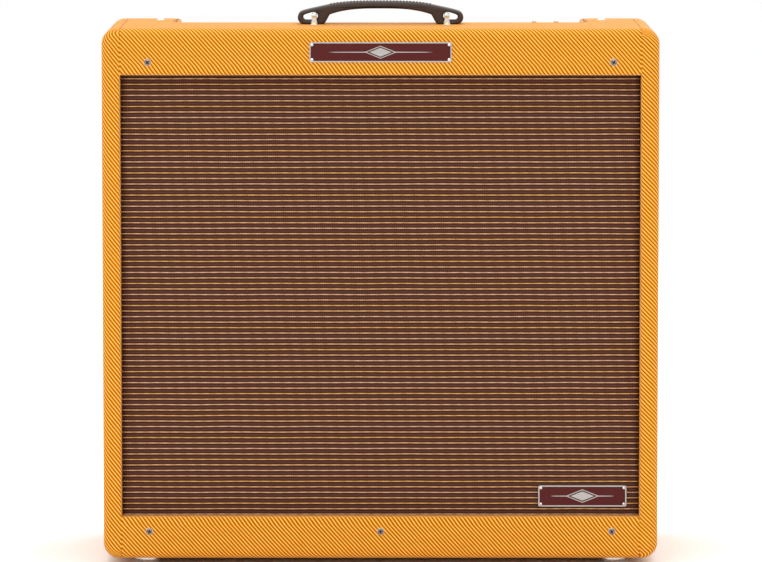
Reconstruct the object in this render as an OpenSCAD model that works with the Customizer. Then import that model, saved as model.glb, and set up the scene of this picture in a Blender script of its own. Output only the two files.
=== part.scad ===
// Tweed-covered combo guitar amplifier with four ten-inch speakers.
// Millimetres. +Z is up, the grille faces -Y, the origin is on the floor under the middle.

/* [Cabinet] */
// Width of the covered cabinet
cab_w = 597; // [585:1:610]
// Height of the covered cabinet without its feet and handle
cab_h = 571.5; // [565:0.5:580]
// Depth of the covered cabinet at its foot
cab_d = 267; // [262:1:275]
// Angle by which the upper back leans forward
lean = 7.7; // [6:0.1:8.5]
// Height above the cabinet's bottom at which the back starts to lean
knee_h = 290; // [270:1:300]
// Radius of the four corners seen from the front
corner_r = 16; // [12:1:20]
// Radius of the long outer edges
edge_r = 10; // [6:1:12]
// Thickness of the side, top and bottom boards with their covering
board_t = 19; // [17:0.5:20]
// Thickness of the cloth covering
cover_t = 0.6; // [0.4:0.1:0.8]
// Number of finger joints along each corner
finger_count = 7; // [5:1:9]
// Height of a foot
foot_h = 8; // [6:0.5:10]

/* [Front] */
// Thickness of the front rails
rail_t = 12.7; // [11:0.1:14]
// Visible height of the upper front rail with the top board above it
upper_rail_h = 49; // [45:0.5:53]
// Visible height of the lower front rail with the bottom board below it
lower_rail_h = 45.4; // [43:0.1:50]
// Thickness of the grille cloth
grille_t = 0.8; // [0.5:0.1:1.2]
// Thickness of the baffle board
baffle_t = 12; // [10:0.5:13]
// Distance from the middle to the outer front screws
front_screw_x = 249.5; // [240:0.5:258]
// Width of the name plate
plate_w = 152.5; // [140:0.5:160]
// Height of the name plate
plate_h = 21.7; // [18:0.1:24]
// Width of the corner badge
badge_w = 95.4; // [85:0.1:100]
// Height of the corner badge
badge_h = 23.1; // [20:0.1:25]

/* [Back] */
// Thickness of the back panels
panel_t = 9.5; // [8:0.5:11]
// Height of the lower back panel's top edge above the cabinet's bottom
lower_panel_h = 200; // [170:1:215]
// Height of the upper back panel's bottom edge above the cabinet's bottom
upper_panel_h = 395; // [375:1:410]

/* [Speakers] */
// Radius of a speaker's mounting flange
flange_r = 127.5; // [126:0.1:128]
// Radius of a speaker hole in the baffle
speaker_hole_r = 113; // [112:0.1:114]
// Distance from the middle to a speaker's axis, sideways
speaker_x = 137; // [134:0.5:140]
// Half the distance between the upper and lower speakers' axes
speaker_z = 129.5; // [128.5:0.5:130]
// Radius of a speaker's motor
motor_r = 40; // [36:0.5:44]

/* [Controls] */
// Half the width of the cutout in the top
cutout_x = 221; // [212:1:226]
// Distance from the front to the cutout
cutout_depth = 137; // [134:1:140]
// Distance from the front to the row of controls
control_depth = 178.5; // [176:0.5:182]
// Spacing of the knobs
knob_pitch = 33; // [32.5:0.1:34]
// Height of a knob's top above the control panel
knob_top = 17; // [15:0.5:18]
// Angle of a toggle lever from upright
toggle_tilt = 13.5; // [10:0.5:14]

/* [Handle] */
// Length of the handle
handle_l = 180; // [176:0.5:186]
// Width of the handle's strap
handle_w = 25; // [22:0.5:28]
// Distance from the front to the middle of the handle
handle_depth = 104; // [98:1:106]
// Distance from the middle to a bracket's cross bar
bracket_x = 72; // [71:0.1:74]
// Height of the handle's highest point above the top
handle_rise = 28; // [26:0.5:30]

/* [Hidden] */
$fn = 64;

// Cabinet planes
front_y = -cab_d / 2;
back_y = cab_d / 2;
top_z = foot_h + cab_h;
inner_x = cab_w / 2 - board_t;
floor_z = foot_h + board_t;
ceiling_z = top_z - board_t;
opening_lo = foot_h + lower_rail_h;
opening_hi = top_z - upper_rail_h;
finger_w = cab_d / finger_count;
foot_x = 252;
foot_y = 100;
far = 400;
gap = 0.6;

// Centre of the bend in the back, and the plane that leans from it
knee_y = back_y - edge_r;
knee_z = foot_h + knee_h;
shoulder_y = knee_y - (top_z - edge_r - knee_z) * tan(lean);

// Layers behind the grille opening
cloth_y = front_y + rail_t;
baffle_y = cloth_y + grille_t;
speaker_y = baffle_y + baffle_t;
speaker_mid_z = foot_h + 284;
speaker_screw_r = 121;
basket_h = 58;
coil_r = 19.8;
cone_r = 99;

// Chassis: its top is the control panel
sheet_t = 1.5;
chassis_x = 255;
chassis_h = 80;
chassis_y = front_y + cutout_depth;
chassis_lo = ceiling_z - chassis_h;
rear_inset = panel_t + 1;
control_y = front_y + control_depth;
rear_row = 225;
bolt_x = 243;
bolt_y = front_y + 190;
bolt_r = 2.4;

// Places along the control row, from the jacks' end to the switches' end
knob_x0 = -60;
knob_x = [for (i = [0:5]) knob_x0 + i * knob_pitch];
jack_x = [for (i = [0:3]) -175 + i * 25];
jack_bore_r = 3.25;
toggle_x = [169, 193];
toggle_pivot = 2;
toggle_l = 16.2;
pilot_x = 141;
shaft_r = 3;
shaft_fit = 0.05;
pot_bush_r = 4.5;
jack_bush_r = 4.7;
toggle_bush_r = 5.5;
pilot_body_r = 7;
hole_fit = 0.1;

// Places along the row of rear sockets
inlet_x = 180;
attenuator_x = 110;
line_out_x = -110;
line_out_r = 11.4;
footswitch_x = -170;

// Handle, measured above the top of the cabinet
handle_y = front_y + handle_depth;
strap_t = 4.5;
slot_in = 68;
slot_out = 84;
slot_hi = 14.7;
rest_gap = 0.3;
bar_r = 2.5;
bar_h = 10;
ear_t = 2.4;
ear_gap = 0.8;
foot_l = 12;

// Plates: a raised rim and corner tabs round a sunken field
plate_t = 1.4;
plate_field = 0.5;
plate_r = 2;
plate_rim = 1.6;
plate_tab = 4.4;
rivet_inset = 2.9;
plate_z = top_z - 24.5;
badge_x = 218;
badge_z = foot_h + 66.4;

// Places and sizes of the screws
front_screw_hi = top_z - 35.5;
front_screw_lo = foot_h + 29.5;
back_screw_x = inner_x - 10;
lean_screw_s = [115, 235];
flat_screw_z = [foot_h + 35, foot_h + lower_panel_h - 18];
screw_head_r = 4.3;
screw_head_h = 2;
shank_r = 2;
shank_hole_r = 2.2;
rivet_r = 0.9;
rivet_head_r = 1.5;
rivet_head_h = 0.7;

// ---- Helpers ----

// A block between two opposite corners
module block(lo, hi) {
    translate(lo) cube(hi - lo);
}

// Points along an arc: [centre x, centre y, radius, first angle, last angle], in flats of about 20 degrees
function arc_points(a) =
    let (flats = max(1, round((a[4] - a[3]) / 22)))
    [for (k = [0:flats])
        let (angle = a[3] + (a[4] - a[3]) * k / flats)
        [a[0] + a[2] * cos(angle), a[1] + a[2] * sin(angle)]];

// A convex outline that runs round a list of arcs
module arc_outline(arcs) {
    polygon([for (a = arcs) each arc_points(a)]);
}

// A rounded rectangle about the origin
module rounded_rect(w, h, r) {
    square([w - 2 * r, h], center = true);
    square([w, h - 2 * r], center = true);
    for (x = [-w / 2 + r, w / 2 - r]) for (y = [-h / 2 + r, h / 2 - r]) translate([x, y]) circle(r = r);
}

// Extrudes a front view (x, z) along the whole depth
module through_y() {
    translate([0, far, 0]) rotate([90, 0, 0]) linear_extrude(2 * far) children();
}

// Extrudes a side view (y, z) across a width, about the middle
module across_x(w) {
    translate([-w / 2, 0, 0]) rotate([90, 0, 90]) linear_extrude(w) children();
}

// The cabinet's outer form, with every face moved in by inset
module cabinet_form(inset) {
    r = edge_r - inset;
    corner_x = cab_w / 2 - corner_r;
    edge_x = cab_w / 2 - edge_r;
    edge_y = cab_d / 2 - edge_r;
    intersection() {
        through_y() arc_outline([
            [-corner_x, foot_h + corner_r, corner_r - inset, 180, 270],
            [corner_x, foot_h + corner_r, corner_r - inset, 270, 360],
            [corner_x, top_z - corner_r, corner_r - inset, 0, 90],
            [-corner_x, top_z - corner_r, corner_r - inset, 90, 180]]);
        across_x(cab_w + 2) arc_outline([
            [-edge_y, foot_h + edge_r, r, 180, 270],
            [edge_y, foot_h + edge_r, r, 270, 360],
            [knee_y, knee_z, r, 0, lean],
            [shoulder_y, top_z - edge_r, r, lean, 90],
            [-edge_y, top_z - edge_r, r, 90, 180]]);
        translate([0, 0, foot_h - 1]) linear_extrude(cab_h + 2) arc_outline([
            [-edge_x, -edge_y, r, 180, 270],
            [edge_x, -edge_y, r, 270, 360],
            [edge_x, edge_y, r, 0, 90],
            [-edge_x, edge_y, r, 90, 180]]);
    }
}

// Every second finger of the corner joints, starting with the first or the second
module finger_slots(first) {
    for (i = [first:2:finger_count - 1])
        translate([0, front_y + i * finger_w, 0])
            for (side = [-1, 1]) {
                x = side * (cab_w / 2 + 5);
                block([min(x, side * inner_x), 0, 0], [max(x, side * inner_x), finger_w, floor_z]);
                block([min(x, side * inner_x), 0, ceiling_z], [max(x, side * inner_x), finger_w, far * 2]);
            }
}

// Moves its children into the leaning back's frame: +Y is outward, +Z runs up the lean
module on_lean() {
    translate([0, knee_y, knee_z]) rotate([lean, 0, 0]) children();
}

// Y of the plane that lies behind the leaning back by inset, at height z
function lean_y(z, inset) = knee_y + (edge_r - inset) / cos(lean) - (z - knee_z) * tan(lean);

// Stands its children on the front, their +Z outward
module on_front(x, z, y = front_y) {
    translate([x, y, z]) rotate([90, 0, 0]) children();
}

// Stands its children on a rear face, their +Z outward
module on_rear(x, z, y) {
    translate([x, y, z]) rotate([-90, 0, 0]) children();
}

// Places its children at speaker i, their +Z running back from the baffle
module at_speaker(i) {
    x = i % 2 == 1 ? -speaker_x : speaker_x;
    z = i < 3 ? speaker_z : -speaker_z;
    translate([x, speaker_y, speaker_mid_z + z]) rotate([-90, 0, 0]) children();
}

// A domed screw with a crossed recess, head up, shank down
module screw(head_r, head_h, shank_r, shank_l) {
    dome_r = (head_r * head_r + head_h * head_h) / (2 * head_h);
    difference() {
        union() {
            intersection() {
                translate([0, 0, head_h - dome_r]) sphere(r = dome_r);
                cylinder(r = head_r, h = head_h);
            }
            translate([0, 0, -shank_l]) cylinder(r = shank_r, h = shank_l + 0.2);
        }
        for (a = [0, 90]) rotate(a)
            translate([-head_r * 0.5, -head_r * 0.09, head_h * 0.35]) cube([head_r, head_r * 0.18, head_h]);
    }
}

// A hexagonal nut with a round hole
module nut(across, h, hole_r) {
    difference() {
        cylinder(r = across / 2 / cos(30), h = h, $fn = 6);
        translate([0, 0, -1]) cylinder(r = hole_r, h = h + 2);
    }
}

// Places its children at each front screw
module at_front_screws() {
    for (x = [-1, 1]) on_front(x * front_screw_x, front_screw_hi) children();
    for (x = [-1, 0, 1]) on_front(x * front_screw_x, front_screw_lo) children();
}

// Places its children at the screws of each back panel
module at_back_screws() {
    for (x = [-back_screw_x, back_screw_x]) {
        for (s = lean_screw_s) on_lean() on_rear(x, s, edge_r) children();
        for (z = flat_screw_z) on_rear(x, z, back_y) children();
    }
}

// Places its children at the screws of both handle brackets
module at_handle_screws() {
    foot_y = handle_w / 2 + ear_gap + ear_t + foot_l / 2;
    for (x = [-1, 1]) for (y = [-1, 1])
        translate([x * bracket_x, handle_y + y * foot_y, top_z]) children();
}

// ---- Cabinet ----

module side_panel(side) {
    color("burlywood") difference() {
        intersection() {
            cabinet_form(cover_t);
            block([side < 0 ? -cab_w : inner_x, -far, 0], [side < 0 ? -inner_x : cab_w, far, far * 2]);
        }
        finger_slots(1);
    }
}

module top_panel() {
    color("burlywood") difference() {
        intersection() {
            cabinet_form(cover_t);
            union() {
                block([-inner_x, -far, ceiling_z], [inner_x, far, far * 2]);
                intersection() {
                    finger_slots(1);
                    block([-far, -far, ceiling_z], [far, far, far * 2]);
                }
            }
        }
        block([-cutout_x, chassis_y, 0], [cutout_x, far, far * 2]);
        for (x = [-bolt_x, bolt_x]) translate([x, bolt_y, 0]) cylinder(r = bolt_r + 0.2, h = far * 2);
        at_handle_screws() translate([0, 0, -18]) cylinder(r = shank_r, h = 30);
    }
}

module bottom_panel() {
    color("burlywood") difference() {
        intersection() {
            cabinet_form(cover_t);
            union() {
                block([-inner_x, -far, 0], [inner_x, far, floor_z]);
                intersection() {
                    finger_slots(1);
                    block([-far, -far, 0], [far, far, floor_z]);
                }
            }
        }
        at_feet() translate([0, 0, foot_h]) cylinder(r = shank_r, h = 12);
    }
}

module front_rail(lo, hi) {
    color("burlywood") difference() {
        block([-inner_x, front_y + cover_t, lo], [inner_x, cloth_y, hi]);
        at_front_screws() translate([0, 0, -40]) cylinder(r = shank_hole_r, h = 60);
    }
}

module tweed_covering() {
    color("goldenrod") difference() {
        cabinet_form(0);
        cabinet_form(cover_t);
        block([-inner_x, -far, opening_lo], [inner_x, 0, opening_hi]);
        block([-inner_x, 0, floor_z], [inner_x, far, ceiling_z]);
        block([-cutout_x, chassis_y, floor_z], [cutout_x, far, far * 2]);
        at_front_screws() translate([0, 0, -5]) cylinder(r = shank_hole_r, h = 10);
        for (x = [-bolt_x, bolt_x]) translate([x, bolt_y, top_z - 5]) cylinder(r = bolt_r + 0.2, h = 10);
        at_handle_screws() translate([0, 0, -5]) cylinder(r = shank_r, h = 10);
        at_feet() translate([0, 0, foot_h - 5]) cylinder(r = shank_r, h = 10);
    }
}

module baffle_board() {
    color("peru") difference() {
        block([gap - inner_x, baffle_y, floor_z + gap], [inner_x - gap, speaker_y, ceiling_z - gap]);
        for (i = [1:4]) at_speaker(i) {
            translate([0, 0, -30]) cylinder(r = speaker_hole_r, h = 60);
            for (a = [45:90:315]) rotate(a) translate([speaker_screw_r, 0, -9]) cylinder(r = 2, h = 30);
        }
        at_front_screws() translate([0, 0, -22]) cylinder(r = shank_r, h = 30);
    }
}

module grille_cloth() {
    color("saddlebrown") difference() {
        block([gap - inner_x, cloth_y, floor_z + gap], [inner_x - gap, baffle_y, ceiling_z - gap]);
        at_front_screws() translate([0, 0, -40]) cylinder(r = shank_r, h = 60);
    }
}

module back_panel_upper() {
    s_lo = (upper_panel_h - knee_h) / cos(lean);
    s_hi = (ceiling_z - knee_z - gap - edge_r * sin(lean)) / cos(lean);
    color("goldenrod") difference() {
        on_lean() block([gap - inner_x, edge_r - panel_t, s_lo], [inner_x - gap, edge_r, s_hi]);
        on_lean() block([-cutout_x, -far, rear_row - 26], [cutout_x, far, rear_row + 24]);
        at_back_screws() translate([0, 0, -40]) cylinder(r = shank_hole_r, h = 60);
    }
}

module back_panel_lower() {
    color("goldenrod") difference() {
        block([gap - inner_x, back_y - panel_t, floor_z + gap],
              [inner_x - gap, back_y, foot_h + lower_panel_h]);
        at_back_screws() translate([0, 0, -40]) cylinder(r = shank_hole_r, h = 60);
    }
}

// Four sticks glued to the sides, which the back panels are screwed to
module back_cleats() {
    stick = 18;
    color("burlywood") difference() {
        for (x = [-inner_x, inner_x - stick]) {
            on_lean() block([x, edge_r - panel_t - stick, upper_panel_h - knee_h + 3],
                            [x + stick, edge_r - panel_t, 249]);
            block([x, back_y - panel_t - stick, floor_z],
                  [x + stick, back_y - panel_t, foot_h + lower_panel_h - 4]);
        }
        at_back_screws() translate([0, 0, -25]) cylinder(r = shank_r, h = 30);
    }
}

// Places its children at each foot
module at_feet() {
    for (x = [-foot_x, foot_x]) for (y = [-foot_y, foot_y]) translate([x, y, 0]) children();
}

module feet() {
    color("silver") at_feet() {
        rotate_extrude() polygon([[0, 0], [11, 0], [13.5, 1.5], [14.5, 4], [14.5, foot_h], [0, foot_h]]);
        translate([0, 0, foot_h - 1]) cylinder(r = shank_r, h = 12);
    }
}

// ---- Plates and screws ----

// A plate standing on its back face, with a lozenge and two lines in relief on its field
module plate(w, h, line_l) {
    lozenge_w = h * 0.55;
    lozenge_h = h * 0.22;
    line_h = h * 0.06;
    difference() {
        linear_extrude(plate_t) rounded_rect(w, h, plate_r);
        translate([0, 0, plate_t - plate_field]) linear_extrude(plate_t) difference() {
            square([w - 2 * plate_rim, h - 2 * plate_rim], center = true);
            at_rivets(w, h, 1.2) circle(r = plate_tab);
            polygon([[-lozenge_w, 0], [0, lozenge_h], [lozenge_w, 0], [0, -lozenge_h]]);
            for (x = [-1, 1])
                translate([x * (lozenge_w + 3 + line_l / 2), 0]) square([line_l, 2 * line_h], center = true);
        }
        at_rivets(w, h, rivet_inset) translate([0, 0, -2]) cylinder(r = rivet_r, h = 9);
    }
}

module name_plate() {
    color("maroon") on_front(0, plate_z) plate(plate_w, plate_h, 42);
}

module corner_badge() {
    color("maroon") on_front(badge_x, badge_z, cloth_y) plate(badge_w, badge_h, 20);
}

// Places its children at a plate's four corner rivets
module at_rivets(w, h, inset) {
    for (x = [-1, 1]) for (y = [-1, 1])
        translate([x * (w / 2 - inset), y * (h / 2 - inset), 0]) children();
}

module plate_rivets() {
    color("silver") {
        on_front(0, plate_z) at_rivets(plate_w, plate_h, rivet_inset)
            translate([0, 0, plate_t]) screw(rivet_head_r, rivet_head_h, rivet_r, plate_t);
        on_front(badge_x, badge_z, cloth_y) at_rivets(badge_w, badge_h, rivet_inset)
            translate([0, 0, plate_t]) screw(rivet_head_r, rivet_head_h, rivet_r, plate_t);
    }
}

module front_screws() {
    color("dimgray") at_front_screws() screw(screw_head_r, screw_head_h, shank_r, rail_t + grille_t + 8);
}

module back_screws() {
    color("dimgray") at_back_screws() screw(screw_head_r, screw_head_h, shank_r, panel_t + 14);
}

// ---- Handle ----

// Height of the handle's underside above its ends' level, at a distance x from its middle
function underside(x) = 19.3 - 9.2 * pow(abs(x) / 60, 3);
// Height of the handle's back above the cabinet's top, at a distance x from its middle
function crest(x) = handle_rise - 16 * pow(abs(x) / (handle_l / 2), 3);

module handle() {
    grip = 62;
    loop_r = 9.3;
    steps = 10;
    color("sienna") translate([0, handle_y + handle_w / 2, top_z + rest_gap]) rotate([90, 0, 0])
        linear_extrude(handle_w) difference() {
            union() {
                polygon(concat(
                    [for (i = [-steps:steps]) [i * grip / steps, underside(i * grip / steps)]],
                    [for (i = [steps:-1:-steps]) [i * grip / steps, crest(i * grip / steps)]]));
                for (side = [-1, 1]) {
                    end_x = side * (handle_l / 2 - loop_r);
                    translate([end_x, loop_r]) circle(r = loop_r);
                    polygon([[side * (slot_in - 5), 0], [end_x, 0], [end_x, 2 * loop_r],
                             [side * (grip - 3), crest(grip - 3) - 0.5],
                             [side * (grip - 3), underside(grip - 3) + 0.5]]);
                }
            }
            for (side = [-1, 1]) handle_slot(side);
        }
}

// The see-through slot in one end of the handle
module handle_slot(side) {
    slot_r = (slot_hi - strap_t) / 2;
    mid_z = (slot_hi + strap_t) / 2;
    for (x = [slot_in + slot_r, slot_out - slot_r]) translate([side * x, mid_z]) circle(r = slot_r);
    translate([side * (slot_in + slot_out) / 2, mid_z])
        square([slot_out - slot_in - 2 * slot_r, 2 * slot_r], center = true);
}

// A bent bracket: a bar through the handle's slot, an ear at each end and two feet
module handle_bracket(side) {
    ear_y = handle_w / 2 + ear_gap;
    ear_w = 6;
    color("silver") translate([side * bracket_x, handle_y, top_z]) difference() {
        union() {
            translate([0, 0, bar_h]) rotate([90, 0, 0])
                cylinder(r = bar_r, h = 2 * (ear_y + ear_t), center = true);
            for (y = [-1, 1]) {
                block([-ear_w / 2, min(y * ear_y, y * (ear_y + ear_t)), 0],
                      [ear_w / 2, max(y * ear_y, y * (ear_y + ear_t)), bar_h]);
                translate([0, y * (ear_y + ear_t / 2), bar_h]) rotate([90, 0, 0])
                    cylinder(r = ear_w / 2, h = ear_t, center = true);
                block([-4.5, min(y * ear_y, y * (ear_y + ear_t + foot_l)), 0],
                      [4.5, max(y * ear_y, y * (ear_y + ear_t + foot_l)), ear_t * 0.75]);
            }
        }
        for (y = [-1, 1]) translate([0, y * (ear_y + ear_t + foot_l / 2), -1]) cylinder(r = 2, h = 10);
    }
}

module handle_screws() {
    color("gold") at_handle_screws() translate([0, 0, ear_t * 0.75]) screw(3.4, 1.8, shank_r, 17);
}

// ---- Chassis ----

// Side view of the chassis, with its walls moved in by inset and its bottom at lo
module chassis_outline(inset, lo) {
    polygon([[chassis_y + inset, lo], [chassis_y + inset, ceiling_z - inset],
             [lean_y(ceiling_z - inset, rear_inset + inset), ceiling_z - inset],
             [lean_y(lo, rear_inset + inset), lo]]);
}

module chassis() {
    color("lightsteelblue") difference() {
        across_x(2 * chassis_x) chassis_outline(0, chassis_lo);
        across_x(2 * (chassis_x - sheet_t)) chassis_outline(sheet_t, chassis_lo - 5);
        for (x = knob_x) panel_hole(x, pot_bush_r + hole_fit);
        for (x = jack_x) panel_hole(x, jack_bush_r + hole_fit);
        for (x = toggle_x) panel_hole(x, toggle_bush_r + hole_fit);
        panel_hole(pilot_x, pilot_body_r + hole_fit);
        for (x = [-bolt_x, bolt_x])
            translate([x, bolt_y, chassis_lo + 20]) cylinder(r = bolt_r + 0.2, h = far);
        on_lean() {
            block([inlet_x - 14.2, -20, rear_row - 10.2], [inlet_x + 14.2, 20, rear_row + 10.2]);
            rear_hole(attenuator_x, pot_bush_r + hole_fit);
            rear_hole(line_out_x, line_out_r + 2 * hole_fit);
            rear_hole(footswitch_x, jack_bush_r + hole_fit);
        }
    }
}

module panel_hole(x, r) {
    translate([x, control_y, ceiling_z - 5]) cylinder(r = r, h = 20);
}

module rear_hole(x, r) {
    translate([x, -20, rear_row]) rotate([-90, 0, 0]) cylinder(r = r, h = 40);
}

module chassis_cover() {
    color("gainsboro") across_x(2 * chassis_x)
        polygon([[chassis_y, chassis_lo - 1.2], [chassis_y, chassis_lo],
                 [lean_y(chassis_lo, rear_inset), chassis_lo],
                 [lean_y(chassis_lo, rear_inset), chassis_lo - 1.2]]);
}

module chassis_bolts() {
    color("silver") for (x = [-bolt_x, bolt_x]) translate([x, bolt_y, top_z]) {
        screw(5, 2.5, bolt_r, board_t + sheet_t + 6);
        translate([0, 0, -board_t - sheet_t - 4]) nut(9.5, 4, bolt_r - 0.05);
    }
}

// A circuit board with its parts and four standoffs; it hangs from the chassis's top
module circuit_board(lo, hi, z, parts) {
    block([lo[0], lo[1], z], [hi[0], hi[1], z + 1.6]);
    for (x = [lo[0] + 4, hi[0] - 4]) for (y = [lo[1] + 4, hi[1] - 4])
        translate([x, y, z + 1]) cylinder(r = 2.5, h = ceiling_z - sheet_t - z - 1);
    for (p = parts) translate([p[0], p[1], z - p[3]]) cylinder(r = p[2], h = p[3] + 0.5);
}

module signal_board() {
    color("darkgreen") circuit_board([-194, chassis_y + 8], [92, chassis_y + 52], chassis_lo + 38,
        [for (i = [0:8]) [-170 + i * 30, chassis_y + 24, 4, 10]]);
}

module power_board() {
    color("darkgreen") circuit_board([112, chassis_y + 6], [246, chassis_y + 66], chassis_lo + 30,
        [for (i = [0:3]) [128 + i * 32, chassis_y + 20, 11, 24]]);
}

// ---- Controls ----

// Places its children on the control panel
module on_panel(x) {
    translate([x, control_y, ceiling_z]) children();
}

// Places its children on the chassis's rear wall, their +Z outward
module on_rear_wall(x) {
    on_lean() on_rear(x, rear_row, edge_r - rear_inset) children();
}

// One potentiometer below the panel, its threaded bush and nut above
module potentiometer() {
    difference() {
        union() {
            translate([0, 0, -sheet_t - 10]) cylinder(r = 11, h = 10);
            translate([0, 0, -sheet_t - 1]) cylinder(r = pot_bush_r, h = sheet_t + 6);
            nut(12, 2.2, pot_bush_r);
        }
        translate([0, 0, -sheet_t - 9]) cylinder(r = shaft_r + shaft_fit, h = 30);
    }
}

module potentiometers() {
    color("silver") {
        for (x = knob_x) on_panel(x) potentiometer();
        on_rear_wall(attenuator_x) potentiometer();
    }
}

// A pointer knob on its shaft, the pointer along +X turned by the angle
module pointer_knob(angle) {
    difference() {
        union() {
            translate([0, 0, 2.8]) cylinder(r = 9.75, h = 5.7);
            rotate(angle) translate([0, 0, 8]) linear_extrude(knob_top - 8)
                polygon([[-10.5, -3.2], [-10.5, 3.2], [-7, 5.4], [3, 4.6], [15.2, 1.1],
                         [15.2, -1.1], [3, -4.6], [-7, -5.4]]);
        }
        translate([0, 0, 2]) cylinder(r = 7.6, h = 3.8);
    }
    translate([0, 0, -sheet_t - 8]) cylinder(r = shaft_r, h = 20);
}

module panel_knob(i) {
    color("ivory") on_panel(knob_x[i]) pointer_knob(90);
}

module attenuator_knob() {
    color("ivory") on_rear_wall(attenuator_x) pointer_knob(-90);
}

module toggle_switches() {
    color("silver") for (x = toggle_x) on_panel(x) difference() {
        union() {
            block([-8, -13, -sheet_t - 20], [8, 13, -sheet_t]);
            translate([0, 0, -sheet_t - 1]) cylinder(r = toggle_bush_r, h = sheet_t + 7);
            nut(14, 2.5, toggle_bush_r);
        }
        translate([0, 0, -2]) cylinder(r = 3.8, h = 20);
    }
}

module toggle_lever(x) {
    color("silver") on_panel(x) translate([0, 0, toggle_pivot]) rotate([toggle_tilt, 0, 0]) {
        sphere(r = 2.4);
        rotate([0, 90, 0]) cylinder(r = 1, h = 6.8, center = true);
        cylinder(r1 = 1.8, r2 = 2.75, h = toggle_l);
        translate([0, 0, toggle_l]) sphere(r = 2.75);
    }
}

module pilot_bezel() {
    color("silver") on_panel(pilot_x) difference() {
        union() {
            cylinder(r = 9, h = 3);
            translate([0, 0, -sheet_t - 18]) cylinder(r = pilot_body_r, h = sheet_t + 19);
        }
        translate([0, 0, -sheet_t - 16]) cylinder(r = 6.2, h = 40);
    }
}

module pilot_jewel() {
    color("purple") on_panel(pilot_x) {
        cylinder(r = 6.2, h = 4);
        translate([0, 0, 4]) cylinder(r1 = 7.6, r2 = 4.5, h = 4);
    }
}

// One quarter-inch socket below the panel, its threaded bush and nut above
module phone_jack() {
    difference() {
        union() {
            block([-8, -10, -sheet_t - 26], [8, 10, -sheet_t]);
            translate([0, 0, -sheet_t - 1]) cylinder(r = jack_bush_r, h = sheet_t + 5);
            nut(12.7, 2.4, jack_bush_r);
        }
        translate([0, 0, -sheet_t - 25]) cylinder(r = jack_bore_r, h = 60);
    }
}

module input_jacks() {
    color("silver") for (x = jack_x) on_panel(x) phone_jack();
}

module footswitch_jack() {
    color("silver") on_rear_wall(footswitch_x) phone_jack();
}

// Three-blade mains socket, flanged on the rear wall
module mains_inlet() {
    color("dimgray") on_rear_wall(inlet_x) {
        difference() {
            union() {
                linear_extrude(2) rounded_rect(48, 24, 2);
                translate([0, 0, -20]) linear_extrude(21) rounded_rect(28, 20, 1.5);
            }
            translate([0, 0, -17]) linear_extrude(40) polygon([
                [-12, -7.8], [12, -7.8], [12, 4], [8.5, 7.8], [-8.5, 7.8], [-12, 4]]);
            for (x = [-20, 20]) translate([x, 0, -5]) cylinder(r = 1.7, h = 10);
        }
        for (p = [[-7, 2], [7, 2], [0, -2]])
            translate([p[0] - 1, p[1] - 2, -18]) cube([2, 4, 15]);
    }
}

// Three-pin balanced socket
module line_out_socket() {
    color("silver") on_rear_wall(line_out_x) {
        difference() {
            union() {
                linear_extrude(1.6) rounded_rect(26, 31, 2);
                translate([0, 0, -18]) cylinder(r = line_out_r, h = 19);
            }
            translate([0, 0, -15]) cylinder(r = 9.4, h = 30);
        }
        for (a = [30, 150, 270]) rotate(a) translate([5.6, 0, -17]) cylinder(r = 1.2, h = 14);
    }
}

// ---- Speakers ----

module speaker_basket(i) {
    color("darkslategray") at_speaker(i) difference() {
        rotate_extrude() polygon([
            [flange_r, 0], [flange_r, 3], [116, 3], [72, 46], [72, basket_h], [22, basket_h], [22, 55],
            [69.5, 55], [69.5, 47], [50, 47], [50, 45], [69.8, 45], [speaker_hole_r, 2.5],
            [speaker_hole_r, 0]]);
        for (a = [0:60:300]) rotate(a + 30) translate([0, 0, 10]) linear_extrude(30)
            polygon([[0, 0], [125 * cos(20), -125 * sin(20)], [125 * cos(20), 125 * sin(20)]]);
        for (a = [45:90:315]) rotate(a) translate([speaker_screw_r, 0, -1]) cylinder(r = 2.2, h = 6);
    }
}

module speaker_motor(i) {
    color("dimgray") at_speaker(i) rotate_extrude() polygon([
        [0, basket_h], [coil_r - 1.4, basket_h], [coil_r - 1.4, 82], [coil_r + 1, 82],
        [coil_r + 1, basket_h], [motor_r, basket_h], [motor_r, 85], [motor_r - 4, 89], [0, 89]]);
}

// The paper cone with its dust cap and voice coil
module speaker_cone(i) {
    neck_z = 38.5;
    rim_z = 8;
    color("black") at_speaker(i) rotate_extrude() polygon([
        [coil_r - 0.6, 76], [coil_r, 76], [coil_r, neck_z], [cone_r, rim_z], [cone_r, rim_z - 0.9],
        [30, 33.4], [16, 28.4], [0, 26.8], [0, 27.8], [15.5, 29.4], [28.4, 34.2],
        [coil_r - 0.6, neck_z - 0.7]]);
}

module cone_surrounds() {
    inner_r = cone_r + 0.3;
    color("dimgray") for (i = [1:4]) at_speaker(i) rotate_extrude() polygon([
        [inner_r, 7.2], [inner_r, 8.2], [102, 8], [105, 9.3], [108, 6.7], [speaker_hole_r, 2.2],
        [speaker_hole_r, 1], [107.5, 5.5], [105, 8.1], [102.4, 7]]);
}

module cone_spiders() {
    inner_r = coil_r + 0.4;
    waves = 5;
    wave_w = (56 - inner_r) / waves;
    color("goldenrod") for (i = [1:4]) at_speaker(i) rotate_extrude() polygon(concat(
        [for (k = [0:2 * waves]) [inner_r + k * wave_w / 2, k % 2 == 0 ? 45 : 43.2]],
        [for (k = [2 * waves:-1:0]) [inner_r + k * wave_w / 2, k % 2 == 0 ? 44.4 : 42.6]]));
}

module speaker_screws() {
    color("dimgray") for (i = [1:4]) at_speaker(i)
        for (a = [45:90:315]) rotate(a) translate([speaker_screw_r, 0, 3]) screw(4, 2.4, 2, 11);
}

// A point on a cubic curve with control points c, at t from 0 to 1
function curve_point(c, t) =
    pow(1 - t, 3) * c[0] + 3 * t * pow(1 - t, 2) * c[1] + 3 * t * t * (1 - t) * c[2] + pow(t, 3) * c[3];

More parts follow.
